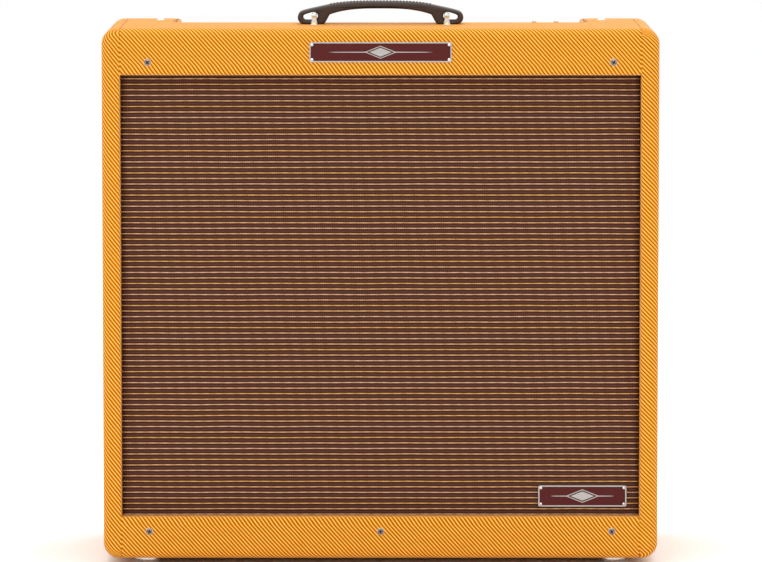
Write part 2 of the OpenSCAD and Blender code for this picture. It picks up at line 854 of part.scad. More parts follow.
// A round lead along a cubic curve; its sections are turned about the depth direction
module lead(c, r, steps) {
    sides = 8;
    route = [for (k = [0:steps]) curve_point(c, k / steps)];
    rings = [for (k = [0:steps])
        let (along = route[min(k + 1, steps)] - route[max(k - 1, 0)],
             u = cross(along, [1, 0.2, 0]) / norm(cross(along, [1, 0.2, 0])),
             v = cross(along, u) / norm(along))
        [for (s = [0:sides - 1]) route[k] + r * (cos(s * 360 / sides) * u + sin(s * 360 / sides) * v)]];
    polyhedron(
        [for (ring = rings) each ring],
        concat(
            [[for (s = [0:sides - 1]) s]],
            [for (k = [0:steps - 1]) for (s = [0:sides - 1])
                [k * sides + s, (k + 1) * sides + s, (k + 1) * sides + (s + 1) % sides,
                 k * sides + (s + 1) % sides]],
            [[for (s = [sides - 1:-1:0]) steps * sides + s]]));
}

// One lead from the chassis to each speaker, held at both ends
module speaker_harness() {
    lead_r = 2;
    spread = 40;
    color("black") for (i = [1:4]) {
        side = i % 2 == 1 ? -1 : 1;
        level = i < 3 ? 1 : -1;
        root = [side * (i < 3 ? 14 : 5), chassis_y + 8, chassis_lo - 1.2];
        tail_z = speaker_mid_z + level * (speaker_z - spread);
        tail = [side * (speaker_x - spread), speaker_y + basket_h + 0.7, tail_z];
        lead([root, root - [0, 0, level > 0 ? 60 : 200], tail + [-side * 20, 60, 0], tail], lead_r, 16);
    }
}

side_panel(-1);  // side_panel_left
side_panel(1);  // side_panel_right
top_panel();
bottom_panel();
front_rail(opening_hi, ceiling_z);  // front_rail_upper
front_rail(floor_z, opening_lo);  // front_rail_lower
tweed_covering();
baffle_board();
grille_cloth();
back_panel_upper();
back_panel_lower();
back_cleats();
feet();
name_plate();
corner_badge();
plate_rivets();
front_screws();
back_screws();
handle();
handle_bracket(-1);  // handle_bracket_left
handle_bracket(1);  // handle_bracket_right
handle_screws();
chassis();
chassis_cover();
chassis_bolts();
signal_board();
power_board();
potentiometers();
toggle_switches();
pilot_bezel();
pilot_jewel();
input_jacks();
mains_inlet();
line_out_socket();
footswitch_jack();
speaker_harness();
speaker_screws();
cone_surrounds();
cone_spiders();
panel_knob(5);  // presence_knob
panel_knob(4);  // middle_knob
panel_knob(3);  // bass_knob
panel_knob(2);  // treble_knob
panel_knob(1);  // bright_volume_knob
panel_knob(0);  // normal_volume_knob
attenuator_knob();
toggle_lever(toggle_x[1]);  // power_toggle
toggle_lever(toggle_x[0]);  // standby_toggle
for (i = [1:4]) {
    speaker_basket(i);
    speaker_motor(i);
    speaker_cone(i);
}
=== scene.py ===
from math import atan2, copysign, cos, degrees, floor, hypot, pi, radians, sin, sqrt, tan

import bmesh
import bpy
from mathutils import Matrix, Vector, noise


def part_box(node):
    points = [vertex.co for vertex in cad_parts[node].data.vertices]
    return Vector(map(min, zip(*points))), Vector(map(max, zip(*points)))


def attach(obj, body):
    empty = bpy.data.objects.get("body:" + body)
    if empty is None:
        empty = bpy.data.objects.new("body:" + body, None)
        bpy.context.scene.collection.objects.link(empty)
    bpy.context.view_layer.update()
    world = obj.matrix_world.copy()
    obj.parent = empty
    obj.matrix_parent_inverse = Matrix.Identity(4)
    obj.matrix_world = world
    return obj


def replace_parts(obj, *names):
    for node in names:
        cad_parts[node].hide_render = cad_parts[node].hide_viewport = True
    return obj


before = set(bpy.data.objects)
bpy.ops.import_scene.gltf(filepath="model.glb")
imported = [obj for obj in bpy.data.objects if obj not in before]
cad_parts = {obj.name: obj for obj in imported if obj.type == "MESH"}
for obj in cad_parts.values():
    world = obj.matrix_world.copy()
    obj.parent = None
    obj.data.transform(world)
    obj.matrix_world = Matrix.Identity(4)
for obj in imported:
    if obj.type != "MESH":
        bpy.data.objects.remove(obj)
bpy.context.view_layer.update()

MM = 0.001


def at(x, y, z):
    """A move."""
    return Matrix.Translation((x, y, z))


def spin(angle, axis):
    """A turn about an axis, in radians."""
    return Matrix.Rotation(angle, 4, axis)


# ---- Places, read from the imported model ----

CAB_LO, CAB_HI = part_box("tweed_covering")
RAIL_HI_LO, RAIL_HI_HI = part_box("front_rail_upper")
RAIL_LO_LO, RAIL_LO_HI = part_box("front_rail_lower")
CLOTH_LO, CLOTH_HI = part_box("grille_cloth")
HANDLE_LO, HANDLE_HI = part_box("handle")

CAB_X = CAB_HI.x
FRONT_Y, BACK_Y = CAB_LO.y, CAB_HI.y
BOTTOM_Z, TOP_Z = CAB_LO.z, CAB_HI.z
INNER_X = RAIL_HI_HI.x
FLOOR_Z, CEILING_Z = RAIL_LO_LO.z, RAIL_HI_HI.z
OPENING_LO, OPENING_HI = RAIL_LO_HI.z, RAIL_HI_LO.z
CLOTH_Y = CLOTH_LO.y
CUTOUT_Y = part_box("chassis")[0].y
CUTOUT_X = 221 * MM

# The outer form of the cabinet: the back is upright up to the knee and leans forward above it
CORNER_R = 16 * MM
EDGE_R = 10 * MM
LEAN = radians(7.7)
KNEE_Z = BOTTOM_Z + 290 * MM
KNEE_Y = BACK_Y - EDGE_R
PANEL_T = 9.5 * MM
# The middle of the row of sockets, from the knee up along the lean
REAR_ROW = 225 * MM


def lean_y(z):
    """Y of the cabinet's back at height z."""
    if z <= KNEE_Z:
        return BACK_Y
    return KNEE_Y + EDGE_R / cos(LEAN) - (z - KNEE_Z) * tan(LEAN)


# Its origin is on the knee's line, its Z runs up along the lean and its Y points out of the back
LEAN_FRAME = at(0, KNEE_Y, KNEE_Z) @ spin(LEAN, "X")

# ---- Mesh helpers ----


def mm(*points):
    """Pairs of numbers given in millimetres."""
    return [(x * MM, y * MM) for x, y in points]


def arc(cx, cy, r, first, last, steps):
    """Points on an arc, from one angle to another, in degrees."""
    angles = [radians(first + (last - first) * i / steps) for i in range(steps + 1)]
    return [(cx + r * cos(a), cy + r * sin(a)) for a in angles]


def add_object(name, mesh, body="root", material=None):
    """Puts a mesh in the scene as a piece that rides on a body."""
    obj = bpy.data.objects.new(name, mesh)
    bpy.context.scene.collection.objects.link(obj)
    if material is not None:
        with_material(mesh, material)
    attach(obj, body)
    return obj


def smooth(mesh, angle=None):
    """Shades a mesh smooth, and keeps edges sharper than the angle (in degrees) crisp."""
    for poly in mesh.polygons:
        poly.use_smooth = True
    if angle is not None:
        mesh.set_sharp_from_angle(angle=radians(angle))


def grid_mesh(name, rows, flip=False, wrap=False):
    """A mesh of quads through rows of (point, uv); wrap joins each row's end to its start."""
    count = len(rows[0])
    points = [p for row in rows for p, uv in row]
    uvs = [uv for row in rows for p, uv in row]
    faces = []
    for i in range(len(rows) - 1):
        for j in range(count if wrap else count - 1):
            k = (j + 1) % count
            quad = [i * count + j, i * count + k, (i + 1) * count + k, (i + 1) * count + j]
            faces.append(quad[::-1] if flip else quad)
    mesh = bpy.data.meshes.new(name)
    mesh.from_pydata([tuple(p) for p in points], [], faces)
    layer = mesh.uv_layers.new(name="weave")
    for loop in mesh.loops:
        layer.data[loop.index].uv = uvs[loop.vertex_index]
    clean(mesh)
    smooth(mesh)
    return mesh


def clean(mesh):
    """Joins points that coincide and drops faces without area."""
    bm = bmesh.new()
    bm.from_mesh(mesh)
    bmesh.ops.remove_doubles(bm, verts=bm.verts, dist=2e-6)
    bmesh.ops.dissolve_degenerate(bm, edges=bm.edges, dist=1e-7)
    bm.to_mesh(mesh)
    bm.free()


def close_up(mesh, sharp_angle, matrix=None):
    """Fills open ends, turns the faces outward, shades the mesh and puts it in its place."""
    bm = bmesh.new()
    bm.from_mesh(mesh)
    bmesh.ops.holes_fill(bm, edges=[e for e in bm.edges if e.is_boundary])
    bmesh.ops.recalc_face_normals(bm, faces=bm.faces)
    bm.to_mesh(mesh)
    bm.free()
    smooth(mesh, sharp_angle)
    if matrix is not None:
        mesh.transform(matrix)
    return mesh


def thicken(obj, thickness):
    """Gives a skin its thickness, inward from the face."""
    mod = obj.modifiers.new("thickness", "SOLIDIFY")
    mod.thickness = thickness
    mod.offset = -1
    return obj


def lathe(name, profile, segments=48, matrix=None):
    """Turns a profile of (radius, height) round the Z axis."""
    rows = []
    for r, z in profile:
        r = r if r > 0.02 * MM else 0
        rows.append([(Vector((r * cos(a), r * sin(a), z)), (a, z))
                     for a in (2 * pi * i / segments for i in range(segments))])
    return close_up(grid_mesh(name, rows, wrap=True), 35, matrix)


def extruded(name, outlines, depth, bevel, matrix=None, steps=3):
    """A plate through closed outlines in XY (the later ones are holes), centred on Z, with round edges."""
    curve = bpy.data.curves.new(name, "CURVE")
    curve.dimensions = "2D"
    curve.fill_mode = "BOTH"
    curve.extrude = depth / 2 - bevel
    curve.bevel_depth = bevel
    curve.bevel_resolution = steps
    curve.offset = -bevel
    for outline in outlines:
        spline = curve.splines.new("POLY")
        spline.points.add(len(outline) - 1)
        for point, (x, y) in zip(spline.points, outline):
            point.co = (x, y, 0, 1)
        spline.use_cyclic_u = True
    holder = bpy.data.objects.new(name, curve)
    bpy.context.scene.collection.objects.link(holder)
    evaluated = holder.evaluated_get(bpy.context.evaluated_depsgraph_get())
    mesh = bpy.data.meshes.new_from_object(evaluated)
    bpy.data.objects.remove(holder)
    bpy.data.curves.remove(curve)
    mesh.name = name
    clean(mesh)
    return close_up(mesh, 40, matrix)


def rounded_rect(w, h, r, steps=5):
    """A rounded rectangle about the origin."""
    x, y = w / 2 - r, h / 2 - r
    corners = [(x, y, 0), (-x, y, 90), (-x, -y, 180), (x, -y, 270)]
    return [p for cx, cy, a in corners for p in arc(cx, cy, r, a, a + 90, steps)]


def joined(name, meshes):
    """One mesh from several, keeping their materials and weave maps."""
    bm = bmesh.new()
    slots = []
    for mesh in meshes:
        start = len(bm.faces)
        bm.from_mesh(mesh)
        bm.faces.ensure_lookup_table()
        here = list(mesh.materials) or [None]
        for face in bm.faces[start:]:
            material = here[min(face.material_index, len(here) - 1)]
            if material not in slots:
                slots.append(material)
            face.material_index = slots.index(material)
    result = bpy.data.meshes.new(name)
    bm.to_mesh(result)
    bm.free()
    for material in slots:
        result.materials.append(material)
    return result


def with_material(mesh, material):
    """Gives a mesh its one material, by its name in MATS."""
    mesh.materials.clear()
    mesh.materials.append(MATS[material])
    return mesh


def turned_copies(mesh, matrices):
    """Copies of one mesh, one for each matrix."""
    copies = []
    for matrix in matrices:
        copy = mesh.copy()
        copy.transform(matrix)
        copies.append(copy)
    return copies


# ---- Materials ----


class Shader:
    """Builds one node material. Each method adds a node and returns its output."""

    def __init__(self, name, **sockets):
        self.material = bpy.data.materials.new(name)
        self.material.use_nodes = True
        self.tree = self.material.node_tree
        self.bsdf = self.tree.nodes["Principled BSDF"]
        for key, value in sockets.items():
            self.bsdf.inputs[key.replace("_", " ")].default_value = value

    def put(self, socket, value):
        if isinstance(value, bpy.types.NodeSocket):
            self.tree.links.new(value, socket)
        else:
            socket.default_value = value

    def node(self, kind, *inputs, **settings):
        node = self.tree.nodes.new(kind)
        for key, value in settings.items():
            setattr(node, key, value)
        for socket, value in zip(node.inputs, inputs):
            if value is not None:
                self.put(socket, value)
        return node

    def math(self, operation, a, b=0.0, c=0.0):
        return self.node("ShaderNodeMath", a, b, c, operation=operation).outputs[0]

    def total(self, first, *others):
        for other in others:
            first = self.math("ADD", first, other)
        return first

    def times(self, value, factor):
        return self.math("MULTIPLY", value, factor)

    def wave(self, phase):
        """A sine from 0 to 1."""
        return self.math("MULTIPLY_ADD", self.math("SINE", phase), 0.5, 0.5)

    def stripes(self, along, pitch):
        """A wave that repeats every pitch, in metres."""
        return self.wave(self.times(along, 2 * pi / pitch))

    def axes(self, vector):
        return self.node("ShaderNodeSeparateXYZ", vector).outputs

    def uv(self):
        return self.node("ShaderNodeUVMap", uv_map="weave").outputs[0]

    def place(self):
        return self.node("ShaderNodeTexCoord").outputs["Object"]

    def scaled(self, vector, factors):
        return self.node("ShaderNodeVectorMath", vector, factors, operation="MULTIPLY").outputs[0]

    def noise(self, vector, scale, detail=2.0, roughness=0.5):
        return self.node("ShaderNodeTexNoise", vector, None, scale, detail, roughness).outputs[0]

    def voronoi(self, vector, scale):
        return self.node("ShaderNodeTexVoronoi", vector, None, scale).outputs["Distance"]

    def ramp(self, factor, stops):
        node = self.tree.nodes.new("ShaderNodeValToRGB")
        elements = node.color_ramp.elements
        while len(elements) < len(stops):
            elements.new(0.5)
        for element, (position, value) in zip(elements, stops):
            element.position = position
            element.color = (*value, 1) if isinstance(value, tuple) else (value, value, value, 1)
        self.put(node.inputs[0], factor)
        return node.outputs[0]

    def mix(self, factor, a, b):
        """Mixes two colours, which are the mix node's seventh and eighth inputs."""
        return self.node("ShaderNodeMix", factor, *[None] * 5, a, b, data_type="RGBA").outputs[2]

    def spread(self, value, low, high):
        """Maps 0..1 to low..high."""
        return self.node("ShaderNodeMapRange", value, 0.0, 1.0, low, high).outputs[0]

    def finish(self, colour, roughness=None, height=None, depth=0.0, strength=1.0):
        self.put(self.bsdf.inputs["Base Color"], colour)
        if roughness is not None:
            self.put(self.bsdf.inputs["Roughness"], roughness)
        if height is not None:
            bump = self.tree.nodes.new("ShaderNodeBump")
            bump.inputs["Strength"].default_value = strength
            bump.inputs["Distance"].default_value = depth
            self.put(bump.inputs["Height"], height)
            self.put(self.bsdf.inputs["Normal"], bump.outputs[0])
        return self.material


# The tweed's ribs and the twist of its yarn
TWILL_PITCH, TWIST_PITCH = 3.17 * MM, 1.5 * MM


def tweed():
    """Lacquered twill: U runs along the diagonal ribs and V across them, in metres."""
    s = Shader("tweed", Sheen_Weight=0.16, Sheen_Roughness=0.25, Specular_IOR_Level=0.06)
    s.bsdf.inputs["Sheen Tint"].default_value = (1.0, 0.80, 0.55, 1)
    uv = s.uv()
    wander = s.noise(uv, 55, 2)
    u, v, _ = s.axes(uv)
    across = s.math("MULTIPLY_ADD", s.math("SUBTRACT", wander, 0.5), 0.55 * MM, v)
    phase = s.times(across, 2 * pi / TWILL_PITCH)
    rib = s.wave(phase)
    twist = s.wave(s.total(phase, s.times(u, 2 * pi / TWIST_PITCH)))
    flecks = s.noise(s.scaled(uv, (420.0, 900.0, 1.0)), 1.0, 2)
    streaks = s.noise(s.scaled(uv, (60.0, 700.0, 1.0)), 1.0, 2)
    tone = s.total(rib, s.spread(flecks, -0.2, 0.2), s.spread(twist, -0.07, 0.07),
                   s.spread(streaks, -0.12, 0.12))
    colour = s.ramp(tone, [
        (0.0, (0.310, 0.067, 0.0005)), (0.3, (0.500, 0.128, 0.0005)),
        (0.62, (0.830, 0.308, 0.009)), (0.88, (0.980, 0.495, 0.075)), (1.0, (0.98, 0.58, 0.13))])
    wide = s.noise(uv, 9, 3)
    colour = s.mix(s.spread(wide, 0.0, 0.16), colour, (0.82, 0.27, 0.006, 1))
    height = s.total(rib, s.times(twist, 0.25), s.times(flecks, 0.25))
    return s.finish(colour, s.spread(flecks, 0.42, 0.62), height, 0.3 * MM, 0.75)


# The grille cloth's cords, the threads and ribs of its ground, and the light and dark along a cord
GRILLE_PITCH = 5.967 * MM
THREAD_PITCH, RIB_PITCH = 0.95 * MM, 2.1 * MM
BEAD_PITCH, DASH_PITCH = 1.7 * MM, 12.9 * MM


def grille():
    """Red-brown cloth with gold cords that pale in fours; U is sideways and V upwards, in metres."""
    s = Shader("grille", Specular_IOR_Level=0.08)
    uv = s.uv()
    u, v, _ = s.axes(uv)
    row = s.math("DIVIDE", v, GRILLE_PITCH)
    part = s.math("FRACT", row)
    number = s.math("FLOOR", row)
    ribs = s.stripes(u, RIB_PITCH)
    fibres = s.noise(s.scaled(uv, (300.0, 1700.0, 1.0)), 1.0, 2)
    flecks = s.noise(s.scaled(uv, (900.0, 900.0, 1.0)), 1.0, 2)
    threads = s.stripes(v, THREAD_PITCH)
    ground = s.ramp(part, [
        (0.0, (0.040, 0.011, 0.001)), (0.29, (0.045, 0.012, 0.001)), (0.42, (0.115, 0.040, 0.026)),
        (0.62, (0.160, 0.064, 0.048)), (0.80, (0.115, 0.040, 0.026)), (0.92, (0.045, 0.012, 0.001))])
    shade = s.total(s.spread(ribs, 0.0, 0.34), s.spread(threads, 0.0, 0.2), s.spread(fibres, 0.0, 0.3))
    ground = s.mix(shade, ground, (0.012, 0.003, 0.002, 1))
    dash = s.wave(s.total(s.times(u, 2 * pi / DASH_PITCH), s.times(number, 0.37)))
    beads = s.stripes(u, BEAD_PITCH)
    glow = s.total(s.times(dash, 0.22), s.times(beads, 0.2), s.times(flecks, 0.55))
    gold = s.ramp(glow, [(0.1, (0.26, 0.11, 0.035)), (0.5, (0.58, 0.29, 0.09)), (1.0, (0.86, 0.52, 0.22))])
    fours = s.wave(s.times(number, pi / 2))
    gold = s.mix(s.spread(fours, 0.0, 0.75), gold, s.ramp(glow, [
        (0.1, (0.27, 0.13, 0.08)), (0.5, (0.56, 0.32, 0.20)), (1.0, (0.86, 0.60, 0.42))]))
    cord = s.ramp(part, [(0.0, 0.0), (0.035, 1.0), (0.2, 1.0), (0.245, 0.0)])
    colour = s.mix(cord, ground, gold)
    height = s.total(s.times(threads, 0.5), s.times(ribs, 0.35), s.times(flecks, 0.3))
    return s.finish(colour, s.spread(cord, 0.8, 0.45), height, 0.25 * MM, 0.7)


def pine(name, along, light=(0.62, 0.40, 0.20), dark=(0.40, 0.22, 0.09)):
    """Sanded pine with its grain along one axis."""
    s = Shader(name, Specular_IOR_Level=0.3)
    squeeze = [70.0, 70.0, 70.0]
    squeeze["xyz".index(along)] = 5.0
    place = s.place()
    grain = s.noise(s.scaled(place, tuple(squeeze)), 1.0, 5, 0.6)
    rings = s.math("SINE", s.times(grain, 42.0))
    fibres = s.noise(s.scaled(place, tuple(f * 9 for f in squeeze)), 1.0, 3)
    tone = s.total(s.spread(rings, 0.35, 0.6), s.spread(fibres, -0.2, 0.2))
    colour = s.ramp(tone, [(0.15, dark), (0.5, light), (0.9, tuple(min(1, c * 1.25) for c in light))])
    return s.finish(colour, s.spread(fibres, 0.5, 0.75), fibres, 0.15 * MM, 0.5)


def metal(name, colour, rough, scratch=0.1):
    """Plated or polished metal with fine scratches and faint cloudiness."""
    s = Shader(name, Metallic=1.0)
    place = s.place()
    cloud = s.noise(place, 90, 3)
    scuffs = s.noise(s.scaled(place, (160.0, 2600.0, 2600.0)), 1.0, 2)
    shade = tuple(c * 0.86 for c in colour)
    tint = s.mix(s.spread(cloud, 0.1, 0.9), (*colour, 1), (*shade, 1))
    rough_now = s.total(s.spread(cloud, rough * 0.75, rough * 1.3), s.spread(scuffs, 0.0, scratch))
    return s.finish(tint, rough_now, scuffs, 0.02 * MM, 0.3)


def paint(name, colour, rough, grainy=0.05, bump=0.05, specular=0.5):
    """Paint, enamel or moulded plastic with a fine texture."""
    s = Shader(name, Specular_IOR_Level=specular)
    place = s.place()
    cloud = s.noise(place, 60, 3)
    grain = s.noise(place, 2600, 2)
    lighter = tuple(min(1, c * 1.25 + 0.004) for c in colour)
    tint = s.mix(s.spread(cloud, 0.0, 0.6), (*colour, 1), (*lighter, 1))
    return s.finish(tint, s.spread(grain, rough - grainy, rough + grainy), grain, bump * MM, 0.4)


def leather():
    """Dark brown strap leather: pebbled grain, creases and rubbed high spots."""
    s = Shader("leather", Specular_IOR_Level=0.45)
    place = s.place()
    pebble = s.voronoi(place, 1400)
    crease = s.noise(s.scaled(place, (500.0, 1400.0, 1400.0)), 1.0, 4, 0.6)
    rub = s.noise(place, 120, 4)
    tone = s.total(s.spread(rub, 0.1, 0.75), s.spread(pebble, 0.12, -0.12))
    colour = s.ramp(tone, [
        (0.2, (0.020, 0.011, 0.008)), (0.55, (0.042, 0.024, 0.018)), (0.9, (0.085, 0.052, 0.038))])
    height = s.total(pebble, s.times(crease, 0.8))
    return s.finish(colour, s.spread(rub, 0.34, 0.58), height, 0.14 * MM, 0.6)


def paper():
    """Pressed speaker paper: mottled fibres."""
    s = Shader("cone_paper", Specular_IOR_Level=0.2)
    place = s.place()
    fibre = s.noise(place, 900, 5, 0.7)
    cloud = s.noise(place, 60, 3)
    colour = s.ramp(s.total(s.times(fibre, 0.6), s.times(cloud, 0.4)), [
        (0.3, (0.012, 0.012, 0.013)), (0.7, (0.045, 0.044, 0.044))])
    return s.finish(colour, s.spread(fibre, 0.8, 0.95), fibre, 0.3 * MM, 0.7)


def jewel():
    """Lit ruby glass."""
    s = Shader("jewel", Transmission_Weight=0.3, IOR=1.5, Emission_Strength=0.04)
    s.bsdf.inputs["Emission Color"].default_value = (0.7, 0.02, 0.05, 1)
    cloud = s.noise(s.place(), 260, 2)
    colour = s.mix(cloud, (0.22, 0.003, 0.010, 1), (0.36, 0.006, 0.022, 1))
    return s.finish(colour, s.spread(cloud, 0.05, 0.12))


MATS = {
    "tweed": tweed(),
    "grille": grille(),
    "pine_z": pine("pine_z", "z"),
    "pine_x": pine("pine_x", "x"),
    "plywood": pine("plywood", "x", (0.50, 0.33, 0.18), (0.33, 0.19, 0.09)),
    "nickel": metal("nickel", (0.80, 0.78, 0.75), 0.14, 0.06),
    "dark_nickel": metal("dark_nickel", (0.30, 0.275, 0.255), 0.16, 0.1),
    "silver_trim": metal("silver_trim", (0.52, 0.49, 0.46), 0.32, 0.1),
    "brass": metal("brass", (0.80, 0.55, 0.22), 0.25, 0.1),
    "chrome_panel": metal("chrome_panel", (0.62, 0.63, 0.65), 0.16, 0.06),
    "steel": metal("steel", (0.52, 0.52, 0.51), 0.34, 0.12),
    "maroon": paint("maroon_enamel", (0.080, 0.011, 0.010), 0.42, specular=0.12),
    "leather": leather(),
    "thread": paint("thread", (0.050, 0.032, 0.022), 0.6, 0.1, 0.2),
    "black_plastic": paint("black_plastic", (0.012, 0.012, 0.012), 0.45, 0.08, 0.08),
    "knob_plastic": paint("knob_plastic", (0.010, 0.009, 0.008), 0.22, 0.05, 0.03),
    "board": paint("circuit_board", (0.012, 0.075, 0.03), 0.35, 0.08, 0.06),
    "basket": paint("basket", (0.030, 0.031, 0.033), 0.38, 0.1, 0.12),
    "motor": metal("motor", (0.30, 0.30, 0.31), 0.34, 0.1),
    "paper": paper(),
    "spider": paint("spider_cloth", (0.42, 0.27, 0.08), 0.85, 0.05, 0.3),
    "lead": paint("lead", (0.014, 0.014, 0.014), 0.5, 0.05, 0.1),
    # Near-black for printed marks; the screw heads' recesses also use it as painted shade
    "print_and_shade_black": paint("print_and_shade_black", (0.012, 0.012, 0.012), 0.5, 0.05, 0.02),
    "white_ink": paint("white_ink", (0.78, 0.77, 0.73), 0.5, 0.05, 0.02),
    "jewel": jewel(),
}

NODE_MATS = {
    "side_panel_left": "pine_z", "side_panel_right": "pine_z", "top_panel": "pine_x",
    "bottom_panel": "pine_x", "front_rail_upper": "pine_x", "front_rail_lower": "pine_x",
    "back_cleats": "pine_z", "baffle_board": "plywood",
    "chassis": "chrome_panel", "chassis_cover": "steel", "chassis_bolts": "nickel",
    "potentiometers": "steel", "toggle_switches": "steel", "pilot_bezel": "nickel",
    "input_jacks": "nickel", "footswitch_jack": "nickel", "line_out_socket": "steel",
    "mains_inlet": "black_plastic", "signal_board": "board", "power_board": "board",
    "speaker_screws": "dark_nickel", "cone_surrounds": "paper", "cone_spiders": "spider",
    "plate_rivets": "nickel", "handle_screws": "brass", "feet": "nickel",
}
for i in range(1, 5):
    NODE_MATS[f"speaker_basket_{i}"] = "basket"
    NODE_MATS[f"speaker_motor_{i}"] = "motor"
    NODE_MATS[f"speaker_cone_{i}"] = "paper"
for node_name, material_name in NODE_MATS.items():
    for material_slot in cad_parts[node_name].material_slots:
        material_slot.material = MATS[material_name]

# ---- Tweed covering ----

RAIL_TWILL = radians(48)
LEFT_TWILL = radians(51.6)
RIGHT_TWILL = radians(45.2)
BACK_TWILL = radians(45)
COVER_T = 0.5 * MM
OPENING_R = 2.6 * MM
SEAM_R = 0.8 * MM
HEM_R = 1.5 * MM
QUARTER = EDGE_R * pi / 2


def bend(cy, cz, r, first, last, steps, v, way=1):
    """Cloth round a bend in YZ: (y, z, normal y, normal z, v) between two angles, in degrees."""
    places = []
    for k in range(steps + 1):
        turned = radians(last - first) * k / steps
        a = radians(first) + turned
        places.append((cy + r * cos(a), cz + r * sin(a), cos(a), sin(a),
                       v + way * r * abs(turned)))
    return places


def flat(start, end, normal, v, parts, way=1):
    """Cloth on a flat in YZ: the places strictly between its start and its end."""
    (y0, z0), (y1, z1) = start, end
    length = hypot(y1 - y0, z1 - z0)
    return [(y0 + (y1 - y0) * k / parts, z0 + (z1 - z0) * k / parts, *normal, v + way * length * k / parts)
            for k in range(1, parts)]


def weave(u, v, angle):
    """Turns a place on flat cloth so that the ribs run along U."""
    return (u * cos(angle) - v * sin(angle), u * sin(angle) + v * cos(angle))


def side_outline():
    """The right side's outline from the top seam to the bottom seam: (x, z, nx, nz, v)."""
    cx, cz_hi, cz_lo = CAB_X - CORNER_R, TOP_Z - CORNER_R, BOTTOM_Z + CORNER_R
    quarter = CORNER_R * pi / 2

    def corner(cz, first):
        """A quarter turn from one angle, in degrees."""
        return [(cx + CORNER_R * cos(a), cz + CORNER_R * sin(a), cos(a), sin(a), cz + CORNER_R * a)
                for a in (radians(first - 7.5 * k) for k in range(13))]

    points = [(x, TOP_Z, 0, 1, cz_hi + quarter + cx - x) for x in (INNER_X, (INNER_X + cx) / 2)]
    points += corner(cz_hi, 90)
    points += [(CAB_X, z, 1, 0, z) for z in (cz_hi + (cz_lo - cz_hi) * k / 44 for k in range(1, 44))]
    points += corner(cz_lo, 0)
    points += [(x, BOTTOM_Z, 0, -1, cz_lo - quarter - cx + x) for x in ((INNER_X + cx) / 2, INNER_X)]
    return points


def opening_round(z):
    """Radius of the side strip's inner edge: soft beside the grille, tight at the rails' seams."""
    reach = min(z - OPENING_LO, OPENING_HI - z) / (4 * MM)
    return SEAM_R + (OPENING_R - SEAM_R) * min(1, max(0, reach))


def side_section(x, z, nx, nz, v):
    """The side covering's section at one place on the outline: a list of (point, (u, v))."""
    in_x, in_z = x - EDGE_R * nx, z - EDGE_R * nz
    width = in_x - INNER_X
    section = []

    def front_flat(share, y):
        px = in_x - width * share
        section.append((Vector((px, y, in_z)), (px - (CAB_X - EDGE_R) - (y - FRONT_Y), in_z)))

    def share(d):
        return 1 - d / width if width > 1e-6 else 1

    r = min(opening_round(in_z), width * 0.45)
    front_flat(1, CLOTH_Y)
    front_flat(1, FRONT_Y + r + 2 * MM)
    for ax, ay in arc(r, r, r, 180, 270, 4):
        front_flat(share(ax), FRONT_Y + ay)
    for k in (0.75, 0.4):
        front_flat(share(max(r, width * (1 - k))), FRONT_Y)
    steps = 8
    for k in range(steps + 1):
        a = pi / 2 * k / steps
        out = EDGE_R * sin(a)
        y = FRONT_Y + EDGE_R * (1 - cos(a))
        point = Vector((in_x + nx * out, y, in_z + nz * out))
        flat_u = in_x + nx * EDGE_R * a - (CAB_X - EDGE_R)
        flat_v = in_z + nz * EDGE_R * a
        w = k / steps
        w = w * w * (3 - 2 * w)
        section.append((point, (flat_u + (EDGE_R * a - flat_u) * w, flat_v + (v - flat_v) * w)))
    y0, y1 = FRONT_Y + EDGE_R, lean_y(z) - EDGE_R
    for k in range(1, 12):
        y = y0 + (y1 - y0) * k / 12
        section.append((Vector((x, y, z)), (QUARTER + y - y0, v)))
    for k in range(steps + 1):
        a = pi / 2 * k / steps
        inward = EDGE_R * (1 - cos(a))
        pz = z - nz * inward
        y = lean_y(pz) - EDGE_R + EDGE_R * sin(a)
        section.append((Vector((x - nx * inward, y, pz)), (QUARTER + y1 - y0 + EDGE_R * a, v)))
    u_end = 2 * QUARTER + y1 - y0
    back = lean_y(in_z)
    rb = min(HEM_R, width * 0.45)
    for d, y in [(width * 0.5, 0)] + [(ax, ay - rb) for ax, ay in arc(rb, 0, rb, 180, 90, 3)]:
        px = INNER_X + d
        section.append((Vector((px, back + y, in_z)), (u_end + in_x - px - y, v)))
    section.append((Vector((INNER_X, back - PANEL_T, in_z)), (u_end + width + PANEL_T, v)))
    return section


def side_covering(side, angle):
    """One side of the cabinet with its rounded edges: the tweed_left or tweed_right piece."""
    rows = []
    for place in side_outline():
        row = []
        for p, (u, v) in side_section(*place):
            row.append((Vector((side * p.x, p.y, p.z)), weave(side * u, v, angle)))
        rows.append(row)
    name = "tweed_right" if side > 0 else "tweed_left"
    obj = add_object(name, grid_mesh(name, rows, flip=side < 0), material="tweed")
    return thicken(obj, COVER_T)


def seam_drop(x, edge):
    """How far the cloth sinks within the last millimetre before a seam at x = edge."""
    near = max(0, 1 - (edge - abs(x)) / (1.3 * MM))
    return 0.8 * MM * near * near


def seam_columns(lo, hi, count, seam_lo, seam_hi):
    """X places across a piece, closer together beside a seam."""
    fine = [0, 0.35 * MM, 0.8 * MM, 1.4 * MM]
    start = [lo + d for d in fine] if seam_lo else [lo]
    end = [hi - d for d in reversed(fine)] if seam_hi else [hi]
    inner = [start[-1] + (end[0] - start[-1]) * k / count for k in range(1, count)]
    return start + inner + end


